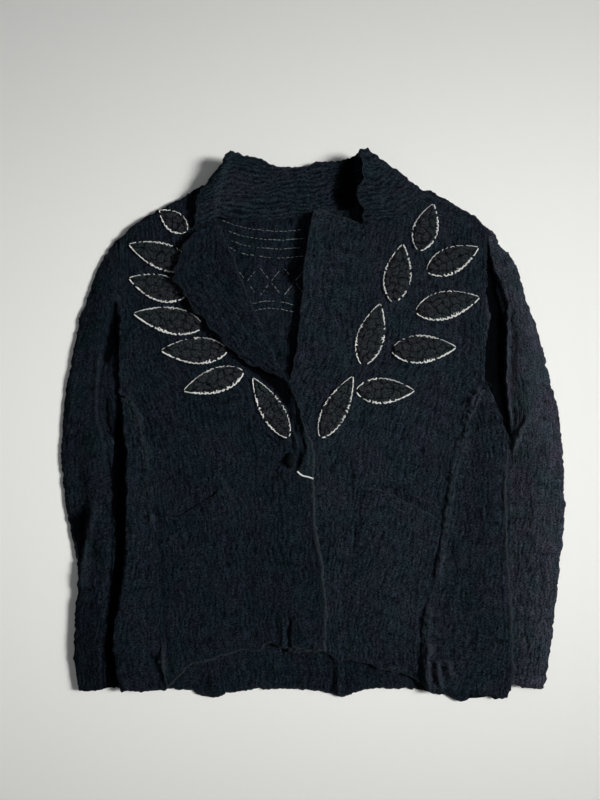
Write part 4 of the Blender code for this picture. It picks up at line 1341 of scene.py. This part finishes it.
@dataclass
class Body:
    """Back, fronts and side panels."""

    # How the back is drawn out under an armpit: plan y of the middle, spread and reach.
    LEFT_ARMPIT = (14.0, 46.0, 20.0)
    RIGHT_ARMPIT = (46.0, 26.0, 12.0)
    ARMPIT_FROM = 200.0

    finishes: Finishes
    rows: int = 200
    columns: int = 170
    back_columns: int = 250
    side_rows: int = 150
    seam_overlap: float = 0.5

    def side_line(self, seam: Places, armhole: Places, shares: np.ndarray) -> np.ndarray:
        """Return a panel's side edge, up the side seam and on up the armhole."""
        both = np.vstack([smooth_line(seam, 120), smooth_line(armhole, 60)])
        return smooth_line(tuple(map(tuple, both)), len(shares), shares)

    def back(self) -> bpy.types.Object:
        """Return the back, finest where it shows at the hem and in the neck."""
        shares = spaced(0.12, 0.62, 46, 16)
        right_low = tuple((row[2], row[0]) for row in rows_between(RIGHT_FOLD, 60))
        left_low = tuple((row[2], row[0]) for row in rows_between(LEFT_FOLD, 60))
        left = self.side_line(right_low, RIGHT_ARMHOLE, shares)
        right = self.side_line(left_low, LEFT_ARMHOLE, shares)
        plan = patch(smooth_line(BACK_HEM, self.back_columns),
                     smooth_line(BACK_TOP_EDGE, self.back_columns), left, right)
        x, y = plan[..., 0], plan[..., 1]
        middle, spread, reach = (np.where(x > 0, on_left, on_right)
                                 for on_left, on_right in zip(self.LEFT_ARMPIT, self.RIGHT_ARMPIT))
        armpit = reach * np.exp(-((y - middle) / spread) ** 2)
        plan[..., 0] += armpit * np.sign(x) * np.clip(np.abs(x) / self.ARMPIT_FROM, 0, 1) ** 6
        lift = fold_height(plan[..., 0], plan[..., 1], HEM_FOLDS)
        outer = lift_plan(plan, lift + BACK_TOP)
        return Shell("back_cloth", outer, self.finishes.cloth, ("back",), (0.46, 0.65), (),
                     rise=1.0, wall=BACK_TOP, seed=3, flat_below=True, seams=(),
                     creases=BACK_CREASES,
                     open_edges=(True, False, False, False)).build()

    def right_front(self) -> bpy.types.Object:
        """Return the front that laps over, from the shoulder to its curved hem."""
        shares = np.linspace(0, 1, self.rows)
        side = self.side_line(RIGHT_SIDE_SEAM, RIGHT_ARMHOLE, shares) - (self.seam_overlap, 0)
        edge = smooth_line(CLOSURE_EDGE[::-1] + ROLL_LINE[::-1][1:], self.rows)
        plan = patch(smooth_line(RIGHT_FRONT_HEM, self.columns),
                     smooth_line(RIGHT_SHOULDER, self.columns), side, edge)
        outer = lift_plan(plan, right_front_under(plan[..., 0], plan[..., 1]) + WALL)
        groove_shades = (Hollow(row, soft=2.0) for row in CLOSURE_GROOVE_SHADE)
        return Shell("right_front_cloth", outer, self.finishes.cloth, ("right_front",),
                     (0.27, 0.64), ("back_cloth",), seed=11, area=0.118, rise=1.4,
                     creases=PLACKET, raw_below=48.0,
                     hollows=(Hollow(CLOSURE_HOLLOW), *groove_shades),
                     open_edges=(True, False, False, True)).build()

    def left_front(self) -> bpy.types.Object:
        """Return the front below, with its lapel unfolded and its neck edge raised."""
        shares = np.linspace(0, 1, self.rows)
        side = self.side_line(LEFT_SIDE_SEAM, LEFT_ARMHOLE, shares) + (self.seam_overlap, 0)
        edge = smooth_line(LEFT_FRONT_EDGE, self.rows)
        plan = patch(smooth_line(LEFT_FRONT_HEM, self.columns),
                     smooth_line(LEFT_FRONT_TOP, self.columns), edge, side)
        outer = lift_plan(plan, front_under(plan[..., 0], plan[..., 1]) + WALL)
        return Shell("left_front_cloth", outer, self.finishes.lit_side_cloth, ("left_front",),
                     (0.26, 0.64), ("back_cloth",), seed=12, area=0.12, rise=1.4,
                     creases=LEFT_CREASES,
                     open_edges=(True, True, True, False), edge_tone=0.6).build()

    @staticmethod
    def profile(seam_run: float, back_run: float, lift: float, top: float,
                seam_height: float) -> np.ndarray:
        """Return a side panel's outer side at one level, as distance in from the fold and height."""
        reach = min(1.0, back_run / 30)
        low = ((back_run, 0.0), (21.5 * reach, 0.0), (16.5 * reach, 0.25 * lift),
               (12.5 * reach, 0.7 * lift), (9.0 * reach, 0.95 * lift), (3.0 * reach + 0.6, lift),
               (0.8, lift + 1.2), (0.0, (lift + top) / 2), (1.0, top - 0.8))
        high = []
        for share, mix in ((0.14, 0.02), (0.34, 0.22), (0.58, 0.62), (0.8, 0.92), (1.0, 1.0)):
            high.append((max(1.9, share * seam_run), top + (seam_height - top) * mix))
        return np.array(low + tuple(high))

    def side(self, name: str, node: str, seam: Places, fold: Places, outward: int,
             top_columns: int, area: float) -> bpy.types.Object:
        """Return a side panel that wraps round the side fold.

        Args:
            name: The piece's name.
            node: The solid that it stands for.
            seam: Plan places of the front seam, from the hem up.
            fold: The table of the side fold.
            outward: 1 if the fold is at the right in plan, -1 at the left.
            top_columns: How many columns lie on the upper side.
            area: The cut's flat area in square metres.

        Returns:
            The finished piece.
        """
        seam_line = smooth_line(seam, self.side_rows)
        levels = rows_between(fold, self.side_rows)
        share = np.concatenate([np.linspace(0, 0.5, 16, endpoint=False),
                                np.linspace(0.5, 0.62, 8, endpoint=False),
                                np.linspace(0.62, 1, top_columns)])
        grid = []
        for (seam_x, seam_y), (fold_y, fold_x, back_x, lift, top) in zip(seam_line, levels):
            seam_height = float(front_under(np.array(seam_x), np.array(seam_y))) + WALL
            outline = self.profile(abs(fold_x - seam_x), abs(fold_x - back_x), lift, top, seam_height)
            outline = curve_points(outline, share * (len(outline) - 1))
            level = fold_y + (seam_y - fold_y) * share**2
            grid.append(np.stack([fold_x - outward * outline[:, 0], level, outline[:, 1]], axis=1))
        outer = np.array(grid)
        if outward > 0:
            outer = outer[::-1]
        # The panel nearer the light takes the lighter copy of the cloth, painted light.
        finish = self.finishes.lit_side_cloth if outward > 0 else self.finishes.cloth
        return Shell(name, outer, finish, (node,), (0.16, 0.4), ("back_cloth",),
                     seed=21 + outward, area=area, rise=1.3,
                     creases=LEFT_CREASES if outward > 0 else (),
                     open_edges=(True, False, False, False), edge_tone=0.6).build()

    def build(self) -> None:
        """Build all five panels."""
        self.back()
        self.right_front()
        self.left_front()
        self.side("right_side_cloth", "right_side", RIGHT_SIDE_SEAM, RIGHT_FOLD, -1, 30, 0.026)
        self.side("left_side_cloth", "left_side", LEFT_SIDE_SEAM, LEFT_FOLD, 1, 62, 0.045)


@dataclass
class Sleeve:
    """A flattened sleeve, an open tube from the armhole to the cuff."""

    name: str
    node: str
    table: Places
    finishes: Finishes
    seed: int
    hollows: tuple[Hollow, ...]
    creases: tuple[Crease, ...] = ()
    cloth: bpy.types.Material | None = None
    cuff_lift: float = 0.0
    rows: int = 240
    upper: int = 62
    lower: int = 18

    def ring_shares(self) -> tuple[np.ndarray, np.ndarray]:
        """Return shares of the width over the top, and back below."""
        turned = (1 - np.cos(np.linspace(0, math.pi, self.upper))) / 2
        over = 0.25 * turned + 0.75 * np.linspace(0, 1, self.upper)
        return over, np.linspace(1, 0, self.lower)[1:-1]

    def heights(self, share: np.ndarray, row: np.ndarray) -> np.ndarray:
        """Return the height of the upper side across one section."""
        knots = np.array([0.0, 0.07, 0.25, 0.48, 0.7, 0.84, 0.94, 1.0])
        edge = SLEEVE_EDGE
        lift = self.cuff_lift * float(np.clip((-135 - row[1]) / 60, 0, 1))
        shoulder = max(edge, 0.62 * row[4]) + 0.8 * lift
        levels = np.array([edge / 2 + lift, shoulder, row[4], row[5], row[6], edge + 0.8, edge - 0.2,
                           edge / 2])
        fine = np.linspace(0, 1, 200)
        straight = np.interp(fine, knots, levels)
        soft = np.convolve(np.pad(straight, 9, mode="edge"), np.ones(19) / 19, mode="valid")
        blend = np.clip(np.minimum(fine, 1 - fine) / 0.06, 0, 1)
        return np.interp(share, fine, straight * (1 - blend) + soft * blend)

    def section(self, row: np.ndarray) -> np.ndarray:
        """Return one closed section, from the outer edge over the top and back below."""
        over, under = self.ring_shares()
        top = self.heights(over, row)
        bottom = np.maximum(0.0, self.heights(under, row) - (2 * WALL + SLEEVE_HOLLOW))
        places = np.concatenate([over, under, over[:1]])
        heights = np.concatenate([top, bottom, top[:1]])
        x = row[0] + places * (row[2] - row[0])
        y = row[1] + places * (row[3] - row[1])
        return np.stack([x, y, heights], axis=1)

    def build(self) -> bpy.types.Object:
        """Return the finished sleeve."""
        grid = np.array([self.section(row) for row in rows_between(self.table, self.rows)])
        outward = self.table[5][0] > 0
        outer = grid[:, ::-1] if outward else grid[:, :]
        outer = outer[::-1]
        cloth = self.cloth or self.finishes.cloth
        return Shell(self.name, outer, cloth, (self.node,), (0.21, 0.6), (), creases=self.creases,
                     seed=self.seed, ring=True, area=0.105, rise=1.3, hollows=self.hollows,
                     open_edges=(True, False, False, False), edge_tone=0.5).build()


@dataclass
class NeckLine:
    """Stand collar and turned-back lapel."""

    finishes: Finishes

    def collar(self) -> bpy.types.Object:
        """Return the collar, turned out at one end and leaning over at the other."""
        rows = rows_between(COLLAR, 210)
        t = np.linspace(0, 1, 56)[None, :, None]
        number = np.linspace(0, len(COLLAR) - 1, len(rows))
        laid = np.clip((number - 10.3) / 0.7, 0, 1)
        on_front = front_under(rows[:, 0], rows[:, 1]) + WALL + 1.4
        rows[:, 2] += (on_front - rows[:, 2]) * laid
        seam, middle, free = (rows[:, None, 3 * k:3 * k + 3] for k in range(3))
        grid = (1 - t) * (1 - 2 * t) * seam + 4 * t * (1 - t) * middle + t * (2 * t - 1) * free
        end = np.clip(number - 12, 0, 1)[:, None] ** 2 + np.clip(0.6 - number, 0, 1)[:, None]
        height = np.zeros_like(end) + t[..., 0]
        grid[..., 0] += end * (4.2 * Noise.wave(height * 7 + 0.3, end * 0 + 4.5, 77)
                               + 2.0 * Noise.wave(height * 16 + 0.3, end * 0 + 1.5, 79))
        outer = np.transpose(grid, (1, 0, 2))
        outer = outer + normals_of(outer) * WALL / 2
        return Shell("collar_cloth", outer, self.finishes.lit_side_cloth, ("collar",), (0.42, 0.12),
                     ("back_cloth",), grain=Grain.ACROSS, seed=41, rise=1.3, seams=(),
                     hollows=(Hollow(COLLAR_HOLLOW, soft=8.0, dark=0.88),),
                     creases=COLLAR_CREASES, edge_tone=0.5,
                     sewn=(True, False, False, False), sewn_width=12.0, sewn_drop=1.7,
                     area=0.03, open_edges=(False, True, True, True)).build()

    def lapel(self) -> bpy.types.Object:
        """Return the lapel, from its round roll to its raised outer edge."""
        rows = rows_between(LAPEL, 130)[::-1]
        share = np.linspace(1, 0, 46)
        place = np.linspace(0, 1, len(rows))[:, None]
        ruffle = 1 + share**3 * (0.10 * Noise.wave(place * 15 + 0.3, place * 0 + 4.5, 78)
                                 + 0.05 * Noise.wave(place * 34 + 0.3, place * 0 + 1.5, 79))
        x = rows[:, 0:1] + share * ruffle * (rows[:, 2:3] - rows[:, 0:1])
        y = rows[:, 1:2] + share * ruffle * (rows[:, 3:4] - rows[:, 1:2])
        stand_off = LEAF_GAP + 0.8 + rows[:, 4:5] * share**1.3 + 1.4 * np.sin(math.pi * share)
        height = right_front_under(x, y) + WALL + stand_off + WALL
        outer = np.dstack([x, y, height])
        return Shell("lapel_cloth", outer, self.finishes.cloth, ("right_lapel",), (0.2, 0.09),
                     ("right_front_cloth",), seed=43, seams=(), area=0.0095, rise=1.3,
                     creases=(Crease(ROLL_LINE[1:], 0.5, 3.0, 0.3),),
                     open_edges=(False, False, True, False), edge_tone=0.6).build()

    def build(self) -> None:
        """Build both pieces."""
        self.collar()
        self.lapel()


@dataclass
class Pockets:
    """The two patch pockets."""

    finishes: Finishes

    def pocket(self, name: str, node: str, edges: tuple[Places, Places, Places, Places],
               on_right: bool, flat: tuple[float, float]) -> bpy.types.Object:
        """Return one pocket lying on its front.

        Args:
            name: The piece's name.
            node: The solid that it stands for.
            edges: Hem, top, left and right edges in plan.
            on_right: True if it lies on the wearer's right front.
            flat: The cut's width and length in metres.

        Returns:
            The finished piece.
        """
        hem, top, left, right = edges
        columns, rows = 82, 84
        plan = patch(smooth_line(hem, columns), smooth_line(top, columns),
                     smooth_line(left, rows), smooth_line(right, rows))
        x, y = plan[..., 0], plan[..., 1]
        under = (right_front_under if on_right else front_under)(x, y)
        outer = lift_plan(plan, under + 2 * WALL + 0.2)
        rests_on = "right_front_cloth" if on_right else "left_front_cloth"
        # The pocket nearer the light takes the lighter copy of the cloth, painted light.
        finish = self.finishes.cloth if on_right else self.finishes.lit_side_cloth
        return Shell(name, outer, finish, (node,), flat, (rests_on,),
                     seed=51 + on_right, area=flat[0] * flat[1] * 0.8, rise=1.3, seams=(),
                     sewn=(True, False, True, True), sewn_width=10.0, sewn_drop=2.2,
                     open_edges=(False, True, False, False), edge_tone=0.35).build()

    def build(self) -> None:
        """Build both pockets."""
        self.pocket("right_pocket_cloth", "right_pocket",
                    (RIGHT_POCKET_HEM, RIGHT_POCKET_TOP, RIGHT_POCKET_SEAM, RIGHT_POCKET_SIDE),
                    True, (0.125, 0.245))
        self.pocket("left_pocket_cloth", "left_pocket",
                    (LEFT_POCKET_HEM, LEFT_POCKET_TOP, LEFT_POCKET_SIDE, LEFT_POCKET_SEAM),
                    False, (0.13, 0.245))


@dataclass
class Thread:
    """Many short stitches of one thread, joined into one piece."""

    name: str
    radius: float
    finish: bpy.types.Material

    def __post_init__(self) -> None:
        """Start an empty list of stitches."""
        self.stitches: list[tuple[np.ndarray, float]] = []

    def add(self, places: np.ndarray, weight: float = 1.0) -> None:
        """Add one stitch, as places in millimetres and its thickness against the thread's."""
        self.stitches.append((np.asarray(places, float), weight))

    def build(self, nodes: tuple[str, ...] = ()) -> bpy.types.Object:
        """Return all the stitches as one mesh of thin tubes."""
        curve = bpy.data.curves.new(self.name, "CURVE")
        curve.dimensions = "3D"
        curve.bevel_depth = self.radius * MM
        curve.bevel_resolution = 1
        curve.use_fill_caps = True
        for stitch, weight in self.stitches:
            spline = curve.splines.new("POLY")
            spline.points.add(len(stitch) - 1)
            for point, place in zip(spline.points, to_metres(stitch)):
                point.co = (*place, 1.0)
                point.radius = weight
        shape = add_object(self.name + "_line", curve)
        graph = bpy.context.evaluated_depsgraph_get()
        mesh = bpy.data.meshes.new_from_object(shape.evaluated_get(graph))
        mesh.name = self.name
        bpy.data.objects.remove(shape)
        piece = add_object(self.name, mesh)
        mesh.materials.clear()
        mesh.materials.append(self.finish)
        mesh.shade_smooth()
        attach(piece, BODY)
        if nodes:
            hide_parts(*nodes)
        LOG.info("%s: %d stitches, %d faces", self.name, len(self.stitches), len(mesh.polygons))
        return piece


@dataclass
class LeafSpray:
    """Leaves of crackled cloth sewn on a front with white overcasting."""

    STITCH_LIFT = (-0.3, 0.7, -0.3)
    SPUR_LIFT = (0.6, 0.2)
    SPUR_FROM = 0.14
    THREAD_RADIUS = 0.68
    LEAF_ROWS = 60
    LEAF_COLUMNS = 30
    AREA_SHARE = 0.66

    side: str
    rows: Places
    on_right: bool
    finishes: Finishes
    stitch_step: float = 2.7

    def under(self, x: np.ndarray, y: np.ndarray) -> np.ndarray:
        """Return the height of the leaf's underside."""
        panel = right_front_under if self.on_right else front_under
        return panel(x, y) + WALL + LEAF_GAP

    def outline(self, row: tuple[float, ...], share: np.ndarray, side: np.ndarray) -> np.ndarray:
        """Return plan places in a leaf, by shares of its length and of its half width."""
        stalk_x, stalk_y, tip_x, tip_y, width = row
        length = math.hypot(tip_x - stalk_x, tip_y - stalk_y)
        ahead = np.array([tip_x - stalk_x, tip_y - stalk_y]) / length
        beside = np.array([-ahead[1], ahead[0]])
        half = width / 2 * np.sin(math.pi * np.clip(share, 0.0, 1.0) ** 0.8) ** 0.8
        return (np.array([stalk_x, stalk_y]) + (share * length)[..., None] * ahead
                + (half * side)[..., None] * beside)

    def leaf(self, number: int, row: tuple[float, ...]) -> bpy.types.Object:
        """Return one leaf.

        Args:
            number: The leaf's number on its front.
            row: Its row of the table.

        Returns:
            The finished piece.
        """
        share = np.linspace(0.02, 0.985, self.LEAF_ROWS)[:, None] * np.ones((1, self.LEAF_COLUMNS))
        side = np.ones((self.LEAF_ROWS, 1)) * np.linspace(1, -1, self.LEAF_COLUMNS)[None, :]
        plan = self.outline(row, share, side)
        outer = lift_plan(plan, self.under(plan[..., 0], plan[..., 1]) + WALL)
        length = math.hypot(row[2] - row[0], row[3] - row[1]) * MM
        rests_on = "right_front_cloth" if self.on_right else "left_front_cloth"
        node = f"{self.side}_leaf_{number}"
        return Shell(node + "_cloth", outer, self.finishes.leaf, (node,),
                     (length, row[4] * MM), (rests_on,), grain=Grain.CRACKLED, rise=1.5,
                     seed=60 + number, fabric_slot="applique_cloth",
                     area=length * row[4] * MM * self.AREA_SHARE,
                     seams=(), sewn=(True, True, True, True), sewn_drop=1.9, sewn_width=3.6).build()

    def stitch(self, thread: Thread, row: tuple[float, ...], share: np.ndarray, side: np.ndarray,
               lift: tuple[float, ...], weight: float) -> None:
        """Add one stitch across a leaf's edge.

        Args:
            thread: The thread that it joins.
            row: The leaf's row of the table.
            share: Shares of the leaf's length.
            side: Shares of the leaf's half width.
            lift: Height above the leaf, in millimetres.
            weight: Thickness against the thread's.
        """
        plan = self.outline(row, share, side)
        height = self.under(plan[:, 0], plan[:, 1]) + WALL + np.array(lift)
        thread.add(np.column_stack([plan, height]), weight)

    def overcast(self, thread: Thread, row: tuple[float, ...], seed: int) -> None:
        """Add the white stitches round one leaf, uneven in length, slant and weight.

        Args:
            thread: The thread that they join.
            row: The leaf's row of the table.
            seed: Number that picks the pattern.
        """
        length = math.hypot(row[2] - row[0], row[3] - row[1])
        count = int(length / self.stitch_step)
        steps = np.arange(count)
        for side in (-1, 1):
            chance = Noise.corner(steps, np.full(count, side + 5), seed)
            slant = Noise.corner(steps, np.full(count, side + 15), seed)
            heavy = 0.5 + 0.6 * Noise.wave(steps / 6.0, np.full(count, side * 3.7), seed)
            facing_down = -side * (row[2] - row[0]) / length
            heavy = np.clip(heavy + 0.3 * facing_down, 0.05, 1.1)
            for step in range(count):
                if chance[step] < 0.22 - 0.18 * heavy[step]:
                    continue
                start = (step + 0.1 + 0.3 * slant[step]) / count
                stop = start + (0.55 + 0.6 * chance[step]) / count
                share = np.clip(np.array([start, (start + stop) / 2, stop]), 0.012, 0.985)
                lean = 0.5 + 1.4 * heavy[step] * slant[step]
                out = np.array([0.6, 0.1, -lean]) if step % 2 else np.array([-lean, 0.1, 0.6])
                thick = (0.36 + 0.85 * heavy[step]) * (0.72 + 0.56 * slant[step])
                self.stitch(thread, row, share, side * (1.0 + 2 * out / row[4]),
                            self.STITCH_LIFT, thick)
                if slant[step] * heavy[step] > self.SPUR_FROM:
                    spur = np.array([0.6, -0.8 - 3.6 * heavy[step] * slant[step]])
                    ends = np.array([share[1], share[1] + 0.9 * (chance[step] - 0.5) / count])
                    self.stitch(thread, row, ends, side * (1.0 + 2 * spur / row[4]),
                                self.SPUR_LIFT, 0.35 + 0.5 * heavy[step])

    def build(self) -> None:
        """Build the leaves and their stitches."""
        thread = Thread(f"{self.side}_overcast", self.THREAD_RADIUS, self.finishes.thread)
        for number, row in enumerate(self.rows, 1):
            self.leaf(number, row)
            self.overcast(thread, row, 80 + number)
        thread.build()


@dataclass
class NeckStitching:
    """Running stitches inside the back, in rows that follow the neck."""

    THREAD_RADIUS = 0.24
    TOP_ROW = ((-114, 255), (-86, 246), (-46, 241), (-8, 243))
    TOP_ROWS = 4
    TOP_ROW_DROP = 11
    TOP_ROW_SHIFT = 3
    FOOT_ROW = ((-80, 150), (-50, 154), (-18, 148))
    FOOT_ROWS = 2
    FOOT_ROW_DROP = 9
    DIAMONDS = 3
    DIAMOND_LEFT = -96
    DIAMOND_STEP = 30
    DIAMOND_HALF = 14
    DIAMOND_Y = 178
    DIAMOND_RISE = 18

    finishes: Finishes
    pitch: float = 5.6
    gap: float = 2.2

    def row(self, thread: Thread, line: Places, seed: int) -> None:
        """Add one row of running stitches.

        Args:
            thread: The thread that they join.
            line: Plan places that the row follows.
            seed: Number that picks the pattern.
        """
        route = smooth_line(line, 160)
        distance = np.concatenate([[0], np.cumsum(np.linalg.norm(np.diff(route, axis=0), axis=1))])
        start = 2.0
        number = 0
        while start + self.pitch < distance[-1]:
            chance = float(Noise.corner(np.array([number]), np.array([seed]), 91)[0])
            length = self.pitch - self.gap + 2.2 * (chance - 0.5)
            if chance > 0.12:
                shares = np.linspace(start, start + length, 4)
                x = np.interp(shares, distance, route[:, 0])
                y = np.interp(shares, distance, route[:, 1]) + 0.9 * (chance - 0.5)
                z = BACK_TOP + np.array([0.7, 1.1, 1.1, 0.7])
                thread.add(np.column_stack([x, y, z]), 0.6 + 0.8 * chance)
            start += self.pitch
            number += 1

    def diamond(self, thread: Thread, number: int) -> None:
        """Add one crossing of the lattice, as two slopes above its middle and two below.

        Args:
            thread: The thread that they join.
            number: The crossing's number from the left.
        """
        left = self.DIAMOND_LEFT + number * self.DIAMOND_STEP
        middle = (left + self.DIAMOND_HALF, self.DIAMOND_Y)
        for rise, seed in ((self.DIAMOND_RISE, 10), (-self.DIAMOND_RISE, 30)):
            level = self.DIAMOND_Y + rise
            self.row(thread, ((left, level), middle), seed + number)
            self.row(thread, (middle, (left + 2 * self.DIAMOND_HALF, level)), seed + 10 + number)

    def build(self) -> None:
        """Build the rows and a lattice of diamonds between them."""
        thread = Thread("neck_stitching", self.THREAD_RADIUS, self.finishes.grey_thread)
        for number in range(self.TOP_ROWS):
            drop = number * self.TOP_ROW_DROP
            (first_x, first_y), *rest = self.TOP_ROW
            shifted = first_x + number * self.TOP_ROW_SHIFT
            self.row(thread, ((shifted, first_y - drop), *((x, y - drop) for x, y in rest)), number)
        for number in range(self.DIAMONDS):
            self.diamond(thread, number)
        for number in range(self.FOOT_ROWS):
            drop = number * self.FOOT_ROW_DROP
            self.row(thread, tuple((x, y - drop) for x, y in self.FOOT_ROW), 50 + number)
        thread.build()


@dataclass
class Closure:
    """The covered button and its white thread loop."""

    LOOP_ROUTE = ((-19, -58), (-13, -63), (-5, -65), (1, -67))
    LOOP_RADIUS = 0.95
    LOOP_LIFT = 1.7

    finishes: Finishes
    radius: float = 9.5
    height: float = 4.5
    place: tuple[float, float] = (-28.0, -44.0)
    slimness: float = 0.58
    foot: float = 0.55
    crimp: float = 0.03
    crimps: int = 9

    def button(self) -> bpy.types.Object:
        """Return the button, a low dome pulled in round its foot."""
        x, y = self.place
        base = float(right_front_under(np.array(x), np.array(y))) + WALL + LEAF_GAP - 0.1
        shape = bmesh.new()
        bmesh.ops.create_uvsphere(shape, u_segments=48, v_segments=24, radius=1.0)
        centre = to_metres(np.array([x, y, base]))
        for vertex in shape.verts:
            level = (max(vertex.co.z, -self.foot) + self.foot) / (1 + self.foot)
            around = math.atan2(vertex.co.y, vertex.co.x)
            crease = 1 + self.crimp * math.sin(self.crimps * around)
            vertex.co = (centre[0] + vertex.co.x * self.radius * MM * self.slimness * crease,
                         centre[1] + vertex.co.y * self.radius * MM * crease,
                         centre[2] + level * self.height * MM)
        bmesh.ops.remove_doubles(shape, verts=shape.verts, dist=0.00001)
        bmesh.ops.recalc_face_normals(shape, faces=shape.faces)
        mesh = bpy.data.meshes.new("covered_button")
        shape.to_mesh(mesh)
        shape.free()
        mesh.shade_smooth()
        mesh.materials.append(self.finishes.button)
        spots = np.zeros(len(mesh.vertices) * 3)
        mesh.vertices.foreach_get("co", spots)
        spots = spots.reshape(-1, 3) / MM
        relief = 0.5 + 0.5 * Noise.wave(spots[:, 0] / 2.4, spots[:, 1] / 3.6, 5)
        attribute = mesh.attributes.new("relief", "FLOAT", "POINT")
        attribute.data.foreach_set("value", relief.astype(np.float32))
        piece = add_object("covered_button", mesh)
        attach(piece, BODY)
        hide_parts("button")
        return piece

    def loop(self) -> bpy.types.Object:
        """Return the thread loop beside the closing edge."""
        route = smooth_line(self.LOOP_ROUTE, 14)
        thread = Thread("thread_loop", self.LOOP_RADIUS, self.finishes.thread)
        height = right_front_under(route[:, 0], route[:, 1]) + WALL + self.LOOP_LIFT
        thread.add(np.column_stack([route, height]))
        return thread.build(("loop_thread",))

    def build(self) -> None:
        """Build both."""
        self.button()
        self.loop()


@dataclass
class Studio:
    """Floor, light and camera. Places and sizes are in metres."""

    finishes: Finishes
    floor_half_size: float = 3.0
    floor_level: float = -0.0002
    window_place: tuple[float, float, float] = (3.2, 0.27, 2.1)
    window_aim: tuple[float, float] = (0.16, -0.014)
    window_softness: float = 0.75
    window_cone: float = 24.5
    window_power: float = 1680.0
    window_colour: Colour = (1.0, 0.995, 0.98)
    ceiling_place: tuple[float, float, float] = (0.0, 0.0, 2.4)
    ceiling_size: float = 1.6
    ceiling_power: float = 4.0
    ceiling_colour: Colour = (0.98, 0.99, 1.0)
    room_colour: Colour = (0.95, 0.97, 1.0)
    room_strength: float = 0.1

    def floor(self) -> None:
        """Add the pale floor just under the garment."""
        shape = bmesh.new()
        bmesh.ops.create_grid(shape, x_segments=1, y_segments=1, size=self.floor_half_size)
        bmesh.ops.translate(shape, verts=shape.verts, vec=(0.0, 0.0, self.floor_level))
        mesh = bpy.data.meshes.new("floor")
        shape.to_mesh(mesh)
        shape.free()
        mesh.materials.append(self.finishes.floor)
        floor = add_object("floor", mesh)

    @staticmethod
    def hang(light: bpy.types.Light, place: tuple[float, float, float],
             aim: tuple[float, float]) -> None:
        """Hang a lamp so that it faces a place on the floor.

        Args:
            light: The lamp's light.
            place: Where it hangs.
            aim: The place on the floor.
        """
        lamp = add_object(light.name, light)
        lamp.location = place
        run, climb = place[0] - aim[0], place[1] - aim[1]
        tilt = math.atan2(math.hypot(run, climb), place[2])
        lamp.rotation_euler = (tilt, 0.0, math.atan2(climb, run) + math.pi / 2)

    def window(self) -> None:
        """Add the low soft light from the right that fades towards the frame's top and foot."""
        light = bpy.data.lights.new("window", "SPOT")
        light.shadow_soft_size = self.window_softness
        light.spot_size = math.radians(self.window_cone)
        light.spot_blend = 1.0
        light.energy = self.window_power
        light.color = self.window_colour
        self.hang(light, self.window_place, self.window_aim)

    def ceiling(self) -> None:
        """Add the weak soft square lamp straight above."""
        light = bpy.data.lights.new("ceiling", "AREA")
        light.shape = "SQUARE"
        light.size = self.ceiling_size
        light.energy = self.ceiling_power
        light.color = self.ceiling_colour
        self.hang(light, self.ceiling_place, (0.0, 0.0))

    @staticmethod
    def camera() -> None:
        """Add the camera, straight above, framed as the photograph is."""
        lens = bpy.data.cameras.new("camera")
        lens.sensor_fit = "VERTICAL"
        lens.angle = 2 * math.atan(VIEW_TALL / 2 / EYE_HEIGHT)
        camera = add_object("camera", lens)
        camera.location = (*VIEW_CENTRE, EYE_HEIGHT)
        bpy.context.scene.camera = camera

    def build(self) -> None:
        """Set the stage."""
        self.floor()
        self.camera()
        self.window()
        self.ceiling()
        world = bpy.data.worlds.new("room")
        world.use_nodes = True
        background = world.node_tree.nodes["Background"]
        background.inputs["Color"].default_value = (*self.room_colour, 1.0)
        background.inputs["Strength"].default_value = self.room_strength
        bpy.context.scene.world = world
        bpy.context.scene.view_settings.view_transform = "Standard"


def main() -> None:
    """Load the frame, dress every piece and finish."""
    logging.basicConfig(level=logging.INFO, format="%(name)s: %(message)s")
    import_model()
    finishes = Finishes()
    Studio(finishes).build()
    Body(finishes).build()
    Sleeve("right_sleeve_cloth", "right_sleeve", RIGHT_SLEEVE, finishes, 31,
           (Hollow(RIGHT_HOLLOW, 3.6, 6.0, lit=RIGHT_LIT_PATCH), Hollow(ELBOW_FOLD, 3.0, 12.0),
            Hollow(LOW_SLEEVE_SHADE, soft=24.0, dark=0.35)),
           RIGHT_SLEEVE_CREASES, cuff_lift=4.6).build()
    # The sleeve that faces the light takes the lightest copy of the cloth, painted light.
    Sleeve("left_sleeve_cloth", "left_sleeve", LEFT_SLEEVE, finishes, 32,
           (Hollow(LEFT_HOLLOW, 3.0),), LEFT_SLEEVE_CREASES, finishes.lit_cloth).build()
    NeckLine(finishes).build()
    Pockets(finishes).build()
    LeafSpray("right", RIGHT_LEAVES, True, finishes).build()
    LeafSpray("left", LEFT_LEAVES, False, finishes).build()
    NeckStitching(finishes).build()
    Closure(finishes).build()


if __name__ == "__main__":
    main()
